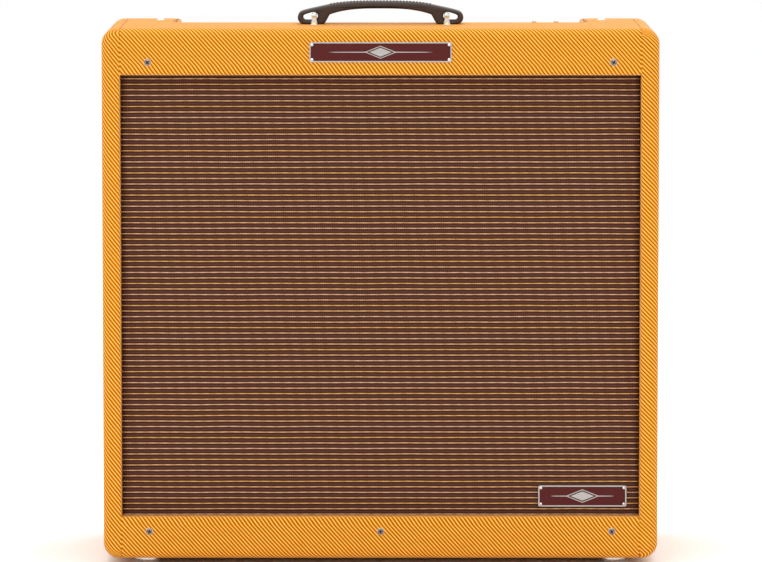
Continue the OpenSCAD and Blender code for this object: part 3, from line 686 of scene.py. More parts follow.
def front_and_top_section(y_end):
    """Upper rail and top: (y, z, normal y, normal z, v), from the grille to y_end on the top."""
    r = OPENING_R
    section = [(CLOTH_Y, OPENING_HI, 0, -1, OPENING_HI - (CLOTH_Y - FRONT_Y)),
               (FRONT_Y + r + 2 * MM, OPENING_HI, 0, -1, OPENING_HI - 2 * MM)]
    y0, z0, z1 = FRONT_Y + EDGE_R, OPENING_HI + r, TOP_Z - EDGE_R
    section += bend(FRONT_Y + r, z0, r, 270, 180, 4, OPENING_HI)
    section += flat((FRONT_Y, z0), (FRONT_Y, z1), (-1, 0), z0, 5)
    section += bend(y0, z1, EDGE_R, 180, 90, 8, z1)
    section += flat((y0, TOP_Z), (y_end, TOP_Z), (0, 1), z1 + QUARTER, 10)
    return section + [(y_end, TOP_Z, 0, 1, z1 + QUARTER + y_end - y0)]


def strip(name, section, columns, seam=None, flip=False):
    """Sweeps a section across the columns, sinking it at the seams."""
    rows = []
    for y, z, ny, nz, v in section:
        row = []
        for x in columns:
            drop = seam_drop(x, seam) if seam else 0
            row.append((Vector((x, y - ny * drop, z - nz * drop)), weave(x, v, RAIL_TWILL)))
        rows.append(row)
    return grid_mesh(name, rows, flip=flip)


def top_covering():
    """Upper rail, top and the shoulders beside the control cutout."""
    r = OPENING_R
    y_cut = CUTOUT_Y - r
    section = front_and_top_section(y_cut)
    shoulder_columns = seam_columns(CUTOUT_X + r, INNER_X, 8, False, True)
    fold_columns = [-CUTOUT_X + 2 * CUTOUT_X * k / 44 for k in range(45)]
    columns = [-x for x in reversed(shoulder_columns)] + fold_columns + shoulder_columns
    meshes = [strip("front", section, columns, INNER_X, flip=True)]
    v0 = section[-1][4]
    fold = bend(y_cut, TOP_Z - r, r, 90, 0, 5, v0)
    fold.append((CUTOUT_Y, CEILING_Z, 1, 0, v0 + r * pi / 2 + TOP_Z - r - CEILING_Z))
    meshes.append(strip("fold", fold, fold_columns, flip=True))
    for side in (-1, 1):
        meshes += shoulder(side, y_cut, v0, shoulder_columns)
    obj = add_object("tweed_top", joined("tweed_top", meshes), material="tweed")
    clean(obj.data)
    smooth(obj.data)
    return thicken(obj, COVER_T)


def shoulder(side, y_cut, v0, columns):
    """The top beside the cutout, from the cutout's front to the back edge, with its inner fold."""
    r = OPENING_R
    shoulder_y = KNEE_Y - (TOP_Z - EDGE_R - KNEE_Z) * tan(LEAN)
    section = [(y_cut, TOP_Z, 0, 1, v0)]
    section += flat((y_cut, TOP_Z), (shoulder_y, TOP_Z), (0, 1), v0, 6)
    section += bend(shoulder_y, TOP_Z - EDGE_R, EDGE_R, 90, degrees(LEAN), 8, v0 + shoulder_y - y_cut)
    z_end = CEILING_Z + HEM_R
    y_end = lean_y(z_end)
    v_end = section[-1][4] + TOP_Z - EDGE_R - z_end
    section.append((y_end, z_end, cos(LEAN), sin(LEAN), v_end))
    section.append((y_end - HEM_R, CEILING_Z, 0, -1, v_end + 2 * MM))
    section.append((y_end - PANEL_T - 2 * MM, CEILING_Z, 0, -1, v_end + PANEL_T + 2 * MM))
    if side < 0:
        columns = [-x for x in reversed(columns)]
    meshes = [strip("shoulder", section, columns, INNER_X, flip=True)]
    rows = []
    wall_x = CUTOUT_X - 0.3 * MM
    for y, z, ny, nz, v in section[:-2]:
        row = []
        for k in range(6):
            a = pi / 2 * k / 5
            x = CUTOUT_X + r - (CUTOUT_X + r - wall_x) * sin(a)
            sink = r * (1 - cos(a))
            row.append((Vector((side * x, y - ny * sink, z - nz * sink)),
                        weave(side * (CUTOUT_X + r - r * a), v, RAIL_TWILL)))
        low_z = min(CEILING_Z + 0.1 * MM, z - nz * r)
        drop = z - nz * r - low_z
        row.append((Vector((side * wall_x, y - ny * r, low_z)),
                    weave(side * (wall_x - r - drop), v, RAIL_TWILL)))
        rows.append(row)
    meshes.append(grid_mesh("shoulder_fold", rows, flip=side > 0))
    patch = []
    for k in range(6):
        d = r * k / 5
        z = TOP_Z - r + sqrt(max(0, r * r - (r - d) ** 2))
        row = []
        for j in range(6):
            a = pi / 2 * j / 5
            x, y = wall_x + (CUTOUT_X + r - wall_x) * d / r * sin(a), CUTOUT_Y - d * cos(a)
            row.append((Vector((side * x, y, z)), weave(side * x, v0 + y - y_cut, RAIL_TWILL)))
        patch.append(row)
    x = side * (CUTOUT_X + r)
    patch.append([(Vector((x, y_cut, TOP_Z)), weave(x, v0, RAIL_TWILL))] * 6)
    meshes.append(grid_mesh("notch_patch", patch, flip=side < 0))
    return meshes


def bottom_covering():
    """Lower rail and bottom, to the back edge."""
    r = OPENING_R
    section = [(CLOTH_Y, OPENING_LO, 0, 1, OPENING_LO + (CLOTH_Y - FRONT_Y)),
               (FRONT_Y + r + 2 * MM, OPENING_LO, 0, 1, OPENING_LO + 2 * MM)]
    y0, y1 = FRONT_Y + EDGE_R, BACK_Y - EDGE_R
    z0, z1 = OPENING_LO - r, BOTTOM_Z + EDGE_R
    section += bend(FRONT_Y + r, z0, r, 90, 180, 4, OPENING_LO, -1)
    section += flat((FRONT_Y, z0), (FRONT_Y, z1), (-1, 0), z0, 5, -1)
    section += bend(y0, z1, EDGE_R, 180, 270, 8, z1, -1)
    section += flat((y0, BOTTOM_Z), (y1, BOTTOM_Z), (0, -1), z1 - QUARTER, 11, -1)
    section += bend(y1, z1, EDGE_R, 270, 360, 8, z1 - QUARTER - (y1 - y0), -1)
    v1 = section[-1][4]
    section.append((BACK_Y, FLOOR_Z - HEM_R, 1, 0, v1 - (FLOOR_Z - HEM_R - z1)))
    section.append((BACK_Y - HEM_R, FLOOR_Z, 0, 1, v1 - (FLOOR_Z - z1)))
    section.append((BACK_Y - PANEL_T - 2 * MM, FLOOR_Z, 0, 1, v1 - (FLOOR_Z - z1) - PANEL_T))
    columns = seam_columns(-INNER_X, INNER_X, 60, True, True)
    mesh = strip("tweed_bottom", section, columns, INNER_X)
    obj = add_object("tweed_bottom", mesh, material="tweed")
    return thicken(obj, COVER_T)


def back_panel(name, node, matrix, lo, hi, hole=None):
    """A covered back panel in XZ, its outer face at local y = 0, with soft edges."""
    bm = bmesh.new()
    x_cuts = [-INNER_X + 0.7 * MM, INNER_X - 0.7 * MM]
    z_cuts = [lo, hi]
    if hole:
        x_cuts[1:1] = [-hole[0], hole[0]]
        z_cuts[1:1] = [hole[1], hole[2]]
    verts = {(i, j): bm.verts.new((x, 0, z)) for i, x in enumerate(x_cuts) for j, z in enumerate(z_cuts)}
    for i in range(len(x_cuts) - 1):
        for j in range(len(z_cuts) - 1):
            if not (hole and (i, j) == (1, 1)):
                bm.faces.new([verts[i, j], verts[i, j + 1], verts[i + 1, j + 1], verts[i + 1, j]])
    grown = bmesh.ops.extrude_face_region(bm, geom=list(bm.faces))
    moved = [v for v in grown["geom"] if isinstance(v, bmesh.types.BMVert)]
    bmesh.ops.translate(bm, verts=moved, vec=(0, -PANEL_T, 0))
    bmesh.ops.recalc_face_normals(bm, faces=bm.faces)
    sharp = [e for e in bm.edges if e.is_manifold and e.calc_face_angle() > 0.5]
    bmesh.ops.bevel(bm, geom=sharp, offset=1.8 * MM, segments=4, profile=0.5, affect="EDGES")
    bmesh.ops.recalc_face_normals(bm, faces=bm.faces)
    layer = bm.loops.layers.uv.new("weave")
    for face in bm.faces:
        for loop in face.loops:
            p = loop.vert.co
            n = face.normal
            u = p.x + (p.y * copysign(1, n.x) if abs(n.x) > 0.7 else 0)
            v = p.z + (p.y * copysign(1, n.z) if abs(n.z) > 0.7 else 0)
            loop[layer].uv = weave(-u, v, BACK_TWILL)
    mesh = bpy.data.meshes.new(name)
    bm.to_mesh(mesh)
    bm.free()
    smooth(mesh, 50)
    mesh.transform(matrix)
    obj = add_object(name, mesh, material="tweed")
    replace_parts(obj, node)
    return obj


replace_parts(side_covering(-1, LEFT_TWILL), "tweed_covering")
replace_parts(side_covering(1, RIGHT_TWILL), "tweed_covering")
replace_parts(top_covering(), "tweed_covering")
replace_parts(bottom_covering(), "tweed_covering")

upper_lo = (403 * MM - KNEE_Z) / cos(LEAN)
upper_hi = (CEILING_Z - KNEE_Z - 0.6 * MM - EDGE_R * sin(LEAN)) / cos(LEAN)
back_panel("back_panel_upper_skin", "back_panel_upper", LEAN_FRAME @ at(0, EDGE_R, 0),
           upper_lo, upper_hi, (CUTOUT_X, REAR_ROW - 26 * MM, REAR_ROW + 24 * MM))
LOWER_LO, LOWER_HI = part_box("back_panel_lower")
back_panel("back_panel_lower_skin", "back_panel_lower", at(0, BACK_Y, 0),
           LOWER_LO.z, LOWER_HI.z)

# ---- Grille cloth ----


def grille_sheet():
    """The cloth over the baffle, with its raised cords and their slight waves."""
    parts = [(0.0, 0.0), (0.05, 0.32), (0.12, 0.42), (0.19, 0.32), (0.24, 0.0), (0.6, 0.10)]
    rows = []
    count = 80
    z = CLOTH_LO.z
    number = floor(z / GRILLE_PITCH)
    levels = []
    while number * GRILLE_PITCH < CLOTH_HI.z:
        for share, rise in parts:
            level = (number + share) * GRILLE_PITCH
            if CLOTH_LO.z < level < CLOTH_HI.z:
                levels.append((level, rise * MM))
        number += 1
    levels = [(CLOTH_LO.z, 0)] + levels + [(CLOTH_HI.z, 0)]
    for level, rise in levels:
        row = []
        edge = min(1, (level - CLOTH_LO.z) / 0.02, (CLOTH_HI.z - level) / 0.02)
        for k in range(count + 1):
            x = CLOTH_LO.x + (CLOTH_HI.x - CLOTH_LO.x) * k / count
            wave = noise.noise((x * 22, level * 40, 0)) * 0.26 + noise.noise((x * 90, level * 170, 5)) * 0.12
            row.append((Vector((x, CLOTH_Y + 0.45 * MM - rise, level + wave * edge * MM)), (x, level)))
        rows.append(row)
    mesh = grid_mesh("grille_sheet", rows)
    obj = add_object("grille_sheet", mesh, material="grille")
    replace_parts(obj, "grille_cloth")
    thicken(obj, 0.3 * MM)
    return obj


grille_sheet()

# ---- Boards under the covering ----


def corner_centre(p):
    """The nearest point on the line of centres that the corner and edge rounding follows."""
    reach_x, reach_z = CAB_X - CORNER_R, TOP_Z - CORNER_R
    low_z = BOTTOM_Z + CORNER_R
    side = copysign(1, p.x)
    x, z = abs(p.x) - reach_x, p.z - min(max(p.z, low_z), reach_z)
    span = CORNER_R - EDGE_R
    far = hypot(max(x, 0), z)
    if x > 0 and far > span:
        x, z = x * span / far, z * span / far
    elif x <= 0:
        z = copysign(min(abs(z), span), z)
    cx, cz = side * (reach_x + x), p.z + z - (p.z - min(max(p.z, low_z), reach_z))
    cy = min(max(p.y, FRONT_Y + EDGE_R), lean_y(cz) - EDGE_R)
    return Vector((cx, cy, cz))


def tuck_in(node, material):
    """A board whose outer corners are drawn in under the rounded covering."""
    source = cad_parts[node]
    mesh = source.data.copy()
    mesh.transform(source.matrix_world)
    limit = EDGE_R - COVER_T - 0.15 * MM
    for vertex in mesh.vertices:
        centre = corner_centre(vertex.co)
        out = vertex.co - centre
        if out.length > limit and abs(vertex.co.x) > INNER_X + 2 * MM:
            vertex.co = centre + out * (limit / out.length)
    obj = add_object(node + "_board", mesh, material=material)
    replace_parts(obj, node)


for board, board_material in (("side_panel_left", "pine_z"), ("side_panel_right", "pine_z"),
                              ("top_panel", "pine_x"), ("bottom_panel", "pine_x")):
    tuck_in(board, board_material)

# ---- Handle and its brackets ----

HANDLE_Y = (HANDLE_LO.y + HANDLE_HI.y) / 2
HANDLE_X = HANDLE_HI.x
STRAP_W = HANDLE_HI.y - HANDLE_LO.y
STRAP_LO = HANDLE_LO.z
STRAP_RISE = HANDLE_HI.z - HANDLE_LO.z
END_R = 7.6 * MM
SLOT_IN, SLOT_OUT = 68 * MM, 84 * MM
SLOT_LO, SLOT_HI = 4.6 * MM, 13.9 * MM
SLOT_TIP_R = 3.3 * MM
GRIP = 62 * MM
STITCH_IN, STITCH_PITCH = 3.4 * MM, 3.6 * MM
BAR_H = 10 * MM


def crest(x):
    """Height of the strap's top at a place along it."""
    return STRAP_RISE - 2.2 * MM - 15.4 * MM * (abs(x) / HANDLE_X) ** 3


def underside(x):
    """Height of the strap's underside, between its ends."""
    return 17.3 * MM - 8.4 * MM * (abs(x) / (60 * MM)) ** 3


def crown(x, y):
    """How far the strap's top falls away from its middle line."""
    return 1.5 * MM * (1 - (x / HANDLE_X) ** 4) * (y / (STRAP_W / 2)) ** 2


def bezier(p0, p1, p2, p3, steps):
    """Points on a curve, without its ends."""
    points = []
    for k in range(1, steps):
        t = k / steps
        points.append(tuple((1 - t) ** 3 * a + 3 * t * (1 - t) ** 2 * b + 3 * t * t * (1 - t) * c + t ** 3 * d
                            for a, b, c, d in zip(p0, p1, p2, p3)))
    return points


def handle_outline():
    """The strap's outline from the side: (x, height above its underside's ends)."""
    end_x = HANDLE_X - END_R
    right = [(GRIP * k / 14, crest(GRIP * k / 14)) for k in range(15)]
    top = (end_x + END_R * cos(radians(72)), END_R + END_R * sin(radians(72)))
    start = right[-1]
    slope = (crest(GRIP) - crest(GRIP - MM)) / MM
    right += bezier(start, (start[0] + 6 * MM, start[1] + 6 * MM * slope),
                    (top[0] - 6 * MM, top[1] + 2.2 * MM), top, 6)
    right += arc(end_x, END_R, END_R, 72, -90, 16)
    heel = (SLOT_IN - 4 * MM, 0.0)
    under = (GRIP - 7 * MM, underside(GRIP - 7 * MM))
    right += [(SLOT_IN, 0.0), heel]
    right += bezier(heel, (heel[0] - 5 * MM, 0.4 * MM), (under[0] + 3 * MM, under[1] - 4 * MM), under, 7)
    count = 12
    right += [(x, underside(x)) for x in ((GRIP - 7 * MM) * (1 - k / count) for k in range(count))]
    left = [(-x, z) for x, z in reversed(right[1:])]
    return right + [(0.0, underside(0.0))] + left


def slot_outline(side):
    """The slot in one end of the strap, narrower at its tip."""
    r = (SLOT_HI - SLOT_LO) / 2
    z = (SLOT_HI + SLOT_LO) / 2
    points = arc(SLOT_OUT - SLOT_TIP_R, SLOT_LO + SLOT_TIP_R, SLOT_TIP_R, -90, 76, 10)
    points += arc(SLOT_IN + r, z, r, 76, 270, 12)
    return [(side * x, y) for x, y in points]


def make_handle():
    """The strap, crowned across its width, with a row of stitches along each edge."""
    stand = at(0, HANDLE_Y, STRAP_LO) @ spin(pi / 2, "X")
    outlines = [handle_outline(), slot_outline(1), slot_outline(-1)]
    strap = with_material(extruded("strap", outlines, STRAP_W, 2.4 * MM, stand, 4), "leather")
    for v in strap.vertices:
        if v.co.z - STRAP_LO > (crest(v.co.x) + underside(min(abs(v.co.x), GRIP - 7 * MM))) / 2:
            v.co.z -= crown(v.co.x, v.co.y - HANDLE_Y)
    stitches = []
    for side in (-1, 1):
        y = side * (STRAP_W / 2 - STITCH_IN)
        for k in range(-15, 16):
            x = k * STITCH_PITCH
            slope = atan2(crest(x + MM) - crest(x - MM), 2 * MM)
            place = at(x, HANDLE_Y + y, STRAP_LO + crest(x) - crown(x, y) - 0.05 * MM)
            stitches.append(place @ spin(-slope, "Y"))
    profile = mm((0, -1.25), (0.25, -1.1), (0.4, -0.6), (0.44, 0), (0.4, 0.6), (0.25, 1.1), (0, 1.25))
    bead = with_material(lathe("stitch", profile, 8, spin(pi / 2, "Y")), "thread")
    mesh = joined("handle_strap", [strap] + turned_copies(bead, stitches))
    obj = add_object("handle_strap", mesh, "handle")
    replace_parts(obj, "handle")


make_handle()


def make_bracket(node):
    """A plated bracket: a bar through the strap's slot, flared feet at both sides."""
    lo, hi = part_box(node)
    x, y = (lo.x + hi.x) / 2, (lo.y + hi.y) / 2
    base, bar_z = lo.z, lo.z + BAR_H
    ear_y = STRAP_W / 2 + 0.8 * MM
    ear_t = 2.4 * MM
    r = 2.5 * MM
    tip = ear_y + ear_t + 0.7 * MM
    half = [(r, ear_y - 0.2 * MM), (r - 0.2 * MM, ear_y), (r - 0.3 * MM, tip - 0.6 * MM),
            (1.2 * MM, tip - 0.15 * MM), (0, tip)]
    profile = [(across, -along) for across, along in reversed(half)] + half
    parts = [lathe("bar", profile, 24, at(x, y, bar_z) @ spin(pi / 2, "X"))]
    outline = arc(0, BAR_H, 3 * MM, -20, 200, 14)
    outline += bezier(outline[-1], *mm((-2.2, 7), (-2.4, 4), (-4.4, 0.4)), 7)
    outline += mm((-4.5, 0), (4.5, 0))
    outline += bezier(*mm((4.4, 0.4), (2.4, 4), (2.2, 7)), outline[0], 7)
    for way in (-1, 1):
        stand = at(x, y + way * (ear_y + ear_t / 2), base) @ spin(pi / 2, "X")
        parts.append(extruded("ear", [outline], ear_t, 0.6 * MM, stand))
        foot_l = 12 * MM + ear_t
        middle = y + way * (ear_y + foot_l / 2)
        foot = rounded_rect(9 * MM, foot_l, 4 * MM, 6)
        parts.append(extruded("foot", [foot], 1.8 * MM, 0.7 * MM, at(x, middle, base + 0.9 * MM)))
    obj = add_object(node + "_shape", joined(node, [with_material(m, "nickel") for m in parts]))
    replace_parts(obj, node)


make_bracket("handle_bracket_left")
make_bracket("handle_bracket_right")

# ---- Screws and rivets ----


def cross_head(r, h, washer=0.0):
    """A domed screw head with its crossed recess in painted shade (near-black), and its cup washer if it has
    one.
    """
    rings, turns = 16, 48
    dome = (r * r + h * h) / (2 * h)
    rows = []
    for i in range(rings + 1):
        rho = r * i / rings
        row = []
        for j in range(turns):
            a = 2 * pi * j / turns
            x, y = rho * cos(a), rho * sin(a)
            z = sqrt(dome * dome - rho * rho) - dome + h
            near, off = (abs(x), abs(y)) if abs(x) > abs(y) else (abs(y), abs(x))
            width = r * 0.19 * (1 - 0.35 * near / r)
            if near < r * 0.62:
                wall = min(1, max(0, (width - off) / (r * 0.06) + 0.5))
                end = min(1, max(0, (r * 0.62 - near) / (r * 0.08)))
                z -= h * 0.62 * wall * end * (1.15 - near / r)
            row.append((Vector((x, y, z)), (x, y)))
        rows.append(row)
    rows.append([(Vector((p.x, p.y, -0.2 * MM)), uv) for p, uv in rows[-1]])
    head = grid_mesh("head", rows, wrap=True)
    smooth(head, 50)
    with_material(head, "dark_nickel")
    # The second slot is the print black: the faces sunk deep in the cross take it as painted shade
    head.materials.append(MATS["print_and_shade_black"])
    for poly in head.polygons:
        x, y, z = poly.center
        if sqrt(max(0, dome * dome - x * x - y * y)) - dome + h - z > 0.3 * h:
            poly.material_index = 1
    meshes = [head]
    if washer:
        profile = [(r * 0.96, 0.1 * MM), (r * 1.02, 0.75 * MM), (washer - 0.35 * MM, 0.5 * MM),
                   (washer, 0.15 * MM), (washer, -0.1 * MM), (r * 0.9, -0.1 * MM)]
        meshes.append(with_material(lathe("cup", profile, 40), "steel"))
    return meshes


def place_heads(name, node, places, meshes):
    """One piece from all the heads that stand for a node, each turned a little differently."""
    placed = []
    for k, place in enumerate(places):
        turn = spin(0.7 + 1.9 * k, "Z")
        placed += [copy for mesh in meshes for copy in turned_copies(mesh, [place @ turn])]
    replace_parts(add_object(name, joined(name, placed)), node)


def facing_front(x, z, y):
    """A place on a wall that faces forwards."""
    return at(x, y, z) @ spin(pi / 2, "X")


def facing_back(x, z, y):
    """A place on a wall that faces backwards."""
    return at(x, y, z) @ spin(-pi / 2, "X")


SCREW_X = 249.5 * MM
front_places = [facing_front(x, TOP_Z - 35.5 * MM, FRONT_Y) for x in (-SCREW_X, SCREW_X)]
front_places += [facing_front(x, BOTTOM_Z + 29.5 * MM, FRONT_Y) for x in (-SCREW_X, 0, SCREW_X)]
place_heads("front_screw_heads", "front_screws", front_places,
            cross_head(3.5 * MM, 1.9 * MM, 4.4 * MM))

back_x = INNER_X - 10 * MM
back_places = [LEAN_FRAME @ facing_back(x, s * MM, EDGE_R) for x in (-back_x, back_x) for s in (115, 235)]
back_places += [facing_back(x, BOTTOM_Z + h * MM, BACK_Y) for x in (-back_x, back_x) for h in (35, 182)]
place_heads("back_screw_heads", "back_screws", back_places,
            cross_head(3.6 * MM, 1.9 * MM, 5.2 * MM))

handle_places = []
for bracket in ("handle_bracket_left", "handle_bracket_right"):
    lo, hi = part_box(bracket)
    for y in (lo.y + 6 * MM, hi.y - 6 * MM):
        handle_places.append(at((lo.x + hi.x) / 2, y, lo.z + 1.8 * MM))
small = cross_head(3.4 * MM, 1.8 * MM)
for m in small:
    m.materials[0] = MATS["brass"]
place_heads("handle_screw_heads", "handle_screws", handle_places, small)

# ---- Plates ----


def plate_field(w, h):
    """The sunken field's outline: a rectangle with a hollow round each corner tab."""
    rim, tab = 1.5 * MM, 2.8 * MM
    x, y = w / 2 - rim, h / 2 - rim
    points = []
    for cx, cy, first in ((x, y, 270), (-x, y, 0), (-x, -y, 90), (x, -y, 180)):
        points += arc(cx, cy, tab, first, first - 90, 8)
    return points


def make_plate(node, line_l):
    """A plate with a plated rim, a sunken enamel field and a lozenge between two lines."""
    lo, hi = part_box(node)
    w, h, t = hi.x - lo.x, hi.z - lo.z, hi.y - lo.y
    stand = facing_front((lo.x + hi.x) / 2, (lo.z + hi.z) / 2, hi.y)
    field_z = t - 0.55 * MM
    outlines = [rounded_rect(w, h, 2 * MM), plate_field(w, h)]
    rim = extruded("rim", outlines, t, 0.25 * MM, stand @ at(0, 0, t / 2))
    a, b = h * 0.55, h * 0.22
    relief = [[(a, 0), (0, b), (-a, 0), (0, -b)]]
    for side in (-1, 1):
        start = a + 3 * MM
        relief.append([(side * x, y) for x, y in (
            (start, 0.55 * MM), (start + line_l * 0.8, 0.4 * MM), (start + line_l, 0),
            (start + line_l * 0.8, -0.4 * MM), (start, -0.55 * MM), (start - MM, 0))][::side])
    ornaments = [extruded("relief", [outline], 0.5 * MM, 0.15 * MM, stand @ at(0, 0, field_z + 0.2 * MM))
                 for outline in relief]
    ring = [[(a * k, 0), (0, b * k), (-a * k, 0), (0, -b * k)] for k in (1.45, 1.25)]
    ornaments.append(extruded("ring", ring, 0.4 * MM, 0.1 * MM, stand @ at(0, 0, field_z + 0.15 * MM)))
    plated = [with_material(m, "silver_trim") for m in [rim] + ornaments]
    obj = add_object(node + "_trim", joined(node + "_trim", plated))
    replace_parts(obj, node)
    enamel = extruded("field", [rounded_rect(w - 1.6 * MM, h - 1.6 * MM, 1.5 * MM)], field_z, 0.1 * MM,
                      stand @ at(0, 0, field_z / 2))
    obj = add_object(node + "_field", with_material(enamel, "maroon"))
    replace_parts(obj, node)


make_plate("name_plate", 42 * MM)
make_plate("corner_badge", 19 * MM)

# ---- Controls ----

PANEL_Y = FRONT_Y + 178.5 * MM
REAR_WALL = LEAN_FRAME @ at(0, EDGE_R - PANEL_T - MM, REAR_ROW) @ spin(-pi / 2, "X")
# Places along the panel and the rear wall, as the CAD has them
KNOBS = ["normal_volume", "bright_volume", "treble", "bass", "middle", "presence"]
FIRST_KNOB_X, KNOB_STEP = -60 * MM, 33 * MM
ATTENUATOR_X = 110 * MM
STANDBY_X, POWER_X, LAMP_X = 169 * MM, 193 * MM, 141 * MM
BORDER_Y = (-27.5 * MM, 24.5 * MM)


def on_panel(x):
    """A place on the control panel's middle line."""
    return at(x, PANEL_Y, CEILING_Z)


def on_rear_wall(x):
    """A place on the chassis's rear wall."""
    return REAR_WALL @ at(x, 0, 0)


def pointer_knob(name, place, angle):
    """A moulded pointer knob with a white line; its pointer lies along +X, turned by the angle."""
    skirt = lathe("skirt", mm((7.6, 3.2), (8.6, 2.8), (9.6, 2.9), (9.75, 3.2), (9.6, 5.6), (8.9, 7.6),
                              (8.3, 8.4), (7.4, 8.7), (0, 8.8)), 48)
    shaft = lathe("shaft", mm((0, -9.4), (3, -9.4), (3, 9), (0, 9)), 24)
    half = mm((15.2, 0.5), (14.9, 1.05), (12, 1.5), (7, 2.5), (3, 4.2), (-1, 5.2), (-5, 5.3), (-8.5, 4.2),
              (-10.3, 2.0))
    tip_x = half[0][0]
    fall = 2.6 * MM
    outline = half + [(x, -y) for x, y in reversed(half)]
    turn = spin(radians(angle), "Z")
    head = extruded("pointer", [outline], 9.2 * MM, 0.9 * MM, at(0, 0, 12.4 * MM))
    for v in head.vertices:
        if v.co.z > 13 * MM:
            rise = (v.co.z - 13 * MM) / (4 * MM)
            v.co.y *= 1 - 0.22 * rise
            if v.co.x > 0:
                v.co.z -= rise * fall * (v.co.x / tip_x) ** 2
    head.transform(turn)
    line = []
    for k in range(9):
        x = (3.5 + 10.8 * k / 8) * MM
        z = 17.03 * MM - fall * (x / tip_x) ** 2
        line.append([(Vector((x, w * 0.42 * MM, z)), (x, w)) for w in (-1, 1)])
    mark = grid_mesh("mark", line, flip=True)
    mark.transform(turn)
    black = [with_material(m, "knob_plastic") for m in (skirt, head)]
    mesh = joined(name, black + [with_material(shaft, "steel"), with_material(mark, "white_ink")])
    mesh.transform(place)
    node = name + "_knob"
    obj = add_object(node + "_shape", mesh, node)
    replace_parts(obj, node)


knob_places = {}
for k, knob in enumerate(KNOBS):
    knob_places[knob] = on_panel(FIRST_KNOB_X + KNOB_STEP * k)
    pointer_knob(knob, knob_places[knob], 90)
pointer_knob("attenuator", on_rear_wall(ATTENUATOR_X), -90)


def dial(place, first, last, count):
    """Printed ticks round a knob between two angles; the end and middle ones are longer."""
    marks = []
    for k in range(count):
        a = radians(first + (last - first) * k / (count - 1))
        long = k in (0, count - 1) or k == count // 2
        r0, r1 = 11.6 * MM, (14.6 if long else 13.4) * MM
        w = (0.42 if long else 0.28) * MM
        rows = [[(Vector((r, t, 0.04 * MM)), (r, t)) for t in (-w, w)] for r in (r0, r1)]
        tick = grid_mesh("tick", rows, flip=True)
        tick.transform(place @ spin(a, "Z"))
        marks.append(tick)
    return marks


def printed_line(place, x0, x1, y, w):
    """A printed line along a place's X; w is half its width."""
    rows = [[(Vector((x, y + t, 0.04 * MM)), (x, t)) for t in (-w, w)] for x in (x0, x1)]
    line = grid_mesh("line", rows, flip=True)
    line.transform(place)
    return line


printing = []
for knob in KNOBS:
    printing += dial(knob_places[knob], -60, 240, 13)
printing += dial(on_rear_wall(ATTENUATOR_X), -165, -15, 6)
for x0, x1 in mm((-212, -188), (-187, -89), (-88, -80), (-79, 123), (124, 128), (129, 205), (206, 212)):
    for y in BORDER_Y:
        printing.append(printed_line(on_panel(0), x0, x1, y, 0.25 * MM))
for x in (-170, -110, 180):
    printing.append(printed_line(on_rear_wall(x * MM), -11 * MM, 11 * MM, -19 * MM, 0.3 * MM))
print_and_shade_black = joined("printing", [with_material(m, "print_and_shade_black") for m in printing])
add_object("panel_printing", print_and_shade_black)


def make_toggle(name, x):
    """A bat-handle lever with its ball in the bush."""
    bat = lathe("bat", mm((0, -2.4), (1.7, -1.7), (2.4, 0), (2.1, 1.1), (1.5, 2), (1.55, 3), (1.8, 7),
                          (2.5, 12.5), (2.75, 16), (2.6, 17.4), (2.0, 18.5), (1.0, 18.9), (0, 18.95)), 32)
    pin = lathe("pin", mm((0, -3.4), (1, -3.4), (1, 3.4), (0, 3.4)), 16, spin(pi / 2, "Y"))
    mesh = joined(name, [with_material(m, "nickel") for m in (bat, pin)])
    mesh.transform(on_panel(x) @ at(0, 0, 2 * MM) @ spin(radians(13.5), "X"))
    obj = add_object(name + "_lever", mesh, name)
    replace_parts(obj, name)


make_toggle("standby_toggle", STANDBY_X)
make_toggle("power_toggle", POWER_X)


def make_jewel():
    """The pilot lamp's faceted lens."""
    rings = [(6.1, 1.0, 0), (7.5, 4.0, 0), (7.3, 5.0, 0.5), (6.2, 6.6, 0), (4.4, 7.7, 0.5), (2.2, 8.0, 0),
             (0, 8.0, 0)]
    count = 14
    rows = []
    for r, z, shift in rings:
        rows.append([(Vector((r * MM * cos(a), r * MM * sin(a), z * MM)), (a, z))
                     for a in (2 * pi * (j + shift) / count for j in range(count))])
    mesh = grid_mesh("jewel_lens", rows, wrap=True)
    for poly in mesh.polygons:
        poly.use_smooth = False
    core = lathe("core", mm((0, 0.2), (6, 0.2), (6, 1.2), (0, 1.2)), 32)
    mesh = joined("jewel_lens", [with_material(m, "jewel") for m in (mesh, core)])
    mesh.transform(on_panel(LAMP_X))
    obj = add_object("pilot_lens", mesh)
    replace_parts(obj, "pilot_jewel")


make_jewel()

# ---- Stage, light and camera ----


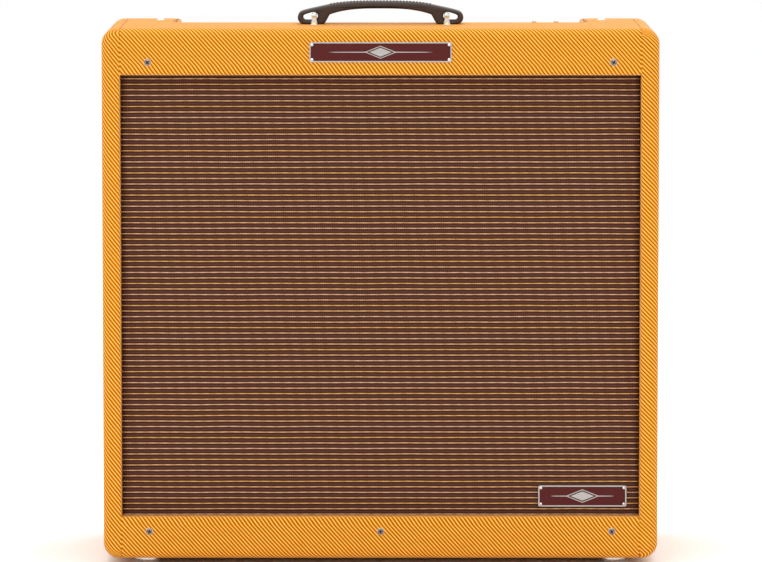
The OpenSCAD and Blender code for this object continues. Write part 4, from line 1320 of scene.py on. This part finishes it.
def make_stage():
    """A plain pale floor."""
    bm = bmesh.new()
    bmesh.ops.create_grid(bm, x_segments=1, y_segments=1, size=40)
    mesh = bpy.data.meshes.new("floor")
    bm.to_mesh(mesh)
    bm.free()
    floor = bpy.data.objects.new("floor", mesh)
    bpy.context.scene.collection.objects.link(floor)
    s = Shader("floor", Roughness=0.9, Specular_IOR_Level=0.1)
    cloud = s.noise(s.place(), 1.5, 3)
    mesh.materials.append(s.finish(s.mix(cloud, (0.93, 0.93, 0.93, 1), (0.95, 0.95, 0.95, 1))))


def area_light(name, place, target, size, power):
    """A soft light that points at its target."""
    data = bpy.data.lights.new(name, "AREA")
    data.shape = "RECTANGLE"
    data.size, data.size_y = size
    data.energy = power
    obj = bpy.data.objects.new(name, data)
    obj.location = place
    obj.rotation_euler = (Vector(target) - Vector(place)).to_track_quat("-Z", "Y").to_euler()
    bpy.context.scene.collection.objects.link(obj)


def make_light():
    """A white studio with a soft light at the front, above and behind."""
    world = bpy.data.worlds.new("studio")
    bpy.context.scene.world = world
    world.use_nodes = True
    background = world.node_tree.nodes["Background"]
    background.inputs[0].default_value = (1, 1, 1, 1)
    background.inputs[1].default_value = 1.06
    middle = (0, 0, 0.3)
    area_light("key", (-1.2, -2.6, 2.6), middle, (2.0, 1.4), 12)
    area_light("over", (0, 0, 3.2), middle, (3.0, 3.0), 42)
    area_light("back", (1.4, 2.8, 2.2), middle, (1.8, 1.4), 16)


def make_camera():
    """Far away, looking slightly down at the middle of the front."""
    distance = 6.0
    view_w = 0.8185
    down = radians(5.6)
    aim = Vector((0.0005, FRONT_Y, BOTTOM_Z + 0.301))
    data = bpy.data.cameras.new("camera")
    data.sensor_width = 36
    data.lens = 36 * distance / view_w
    camera = bpy.data.objects.new("camera", data)
    camera.location = aim + Vector((0, -cos(down), sin(down))) * distance
    camera.rotation_euler = (pi / 2 - down, 0, 0)
    bpy.context.scene.collection.objects.link(camera)
    bpy.context.scene.camera = camera
    bpy.context.scene.view_settings.view_transform = "Standard"


make_stage()
make_light()
make_camera()
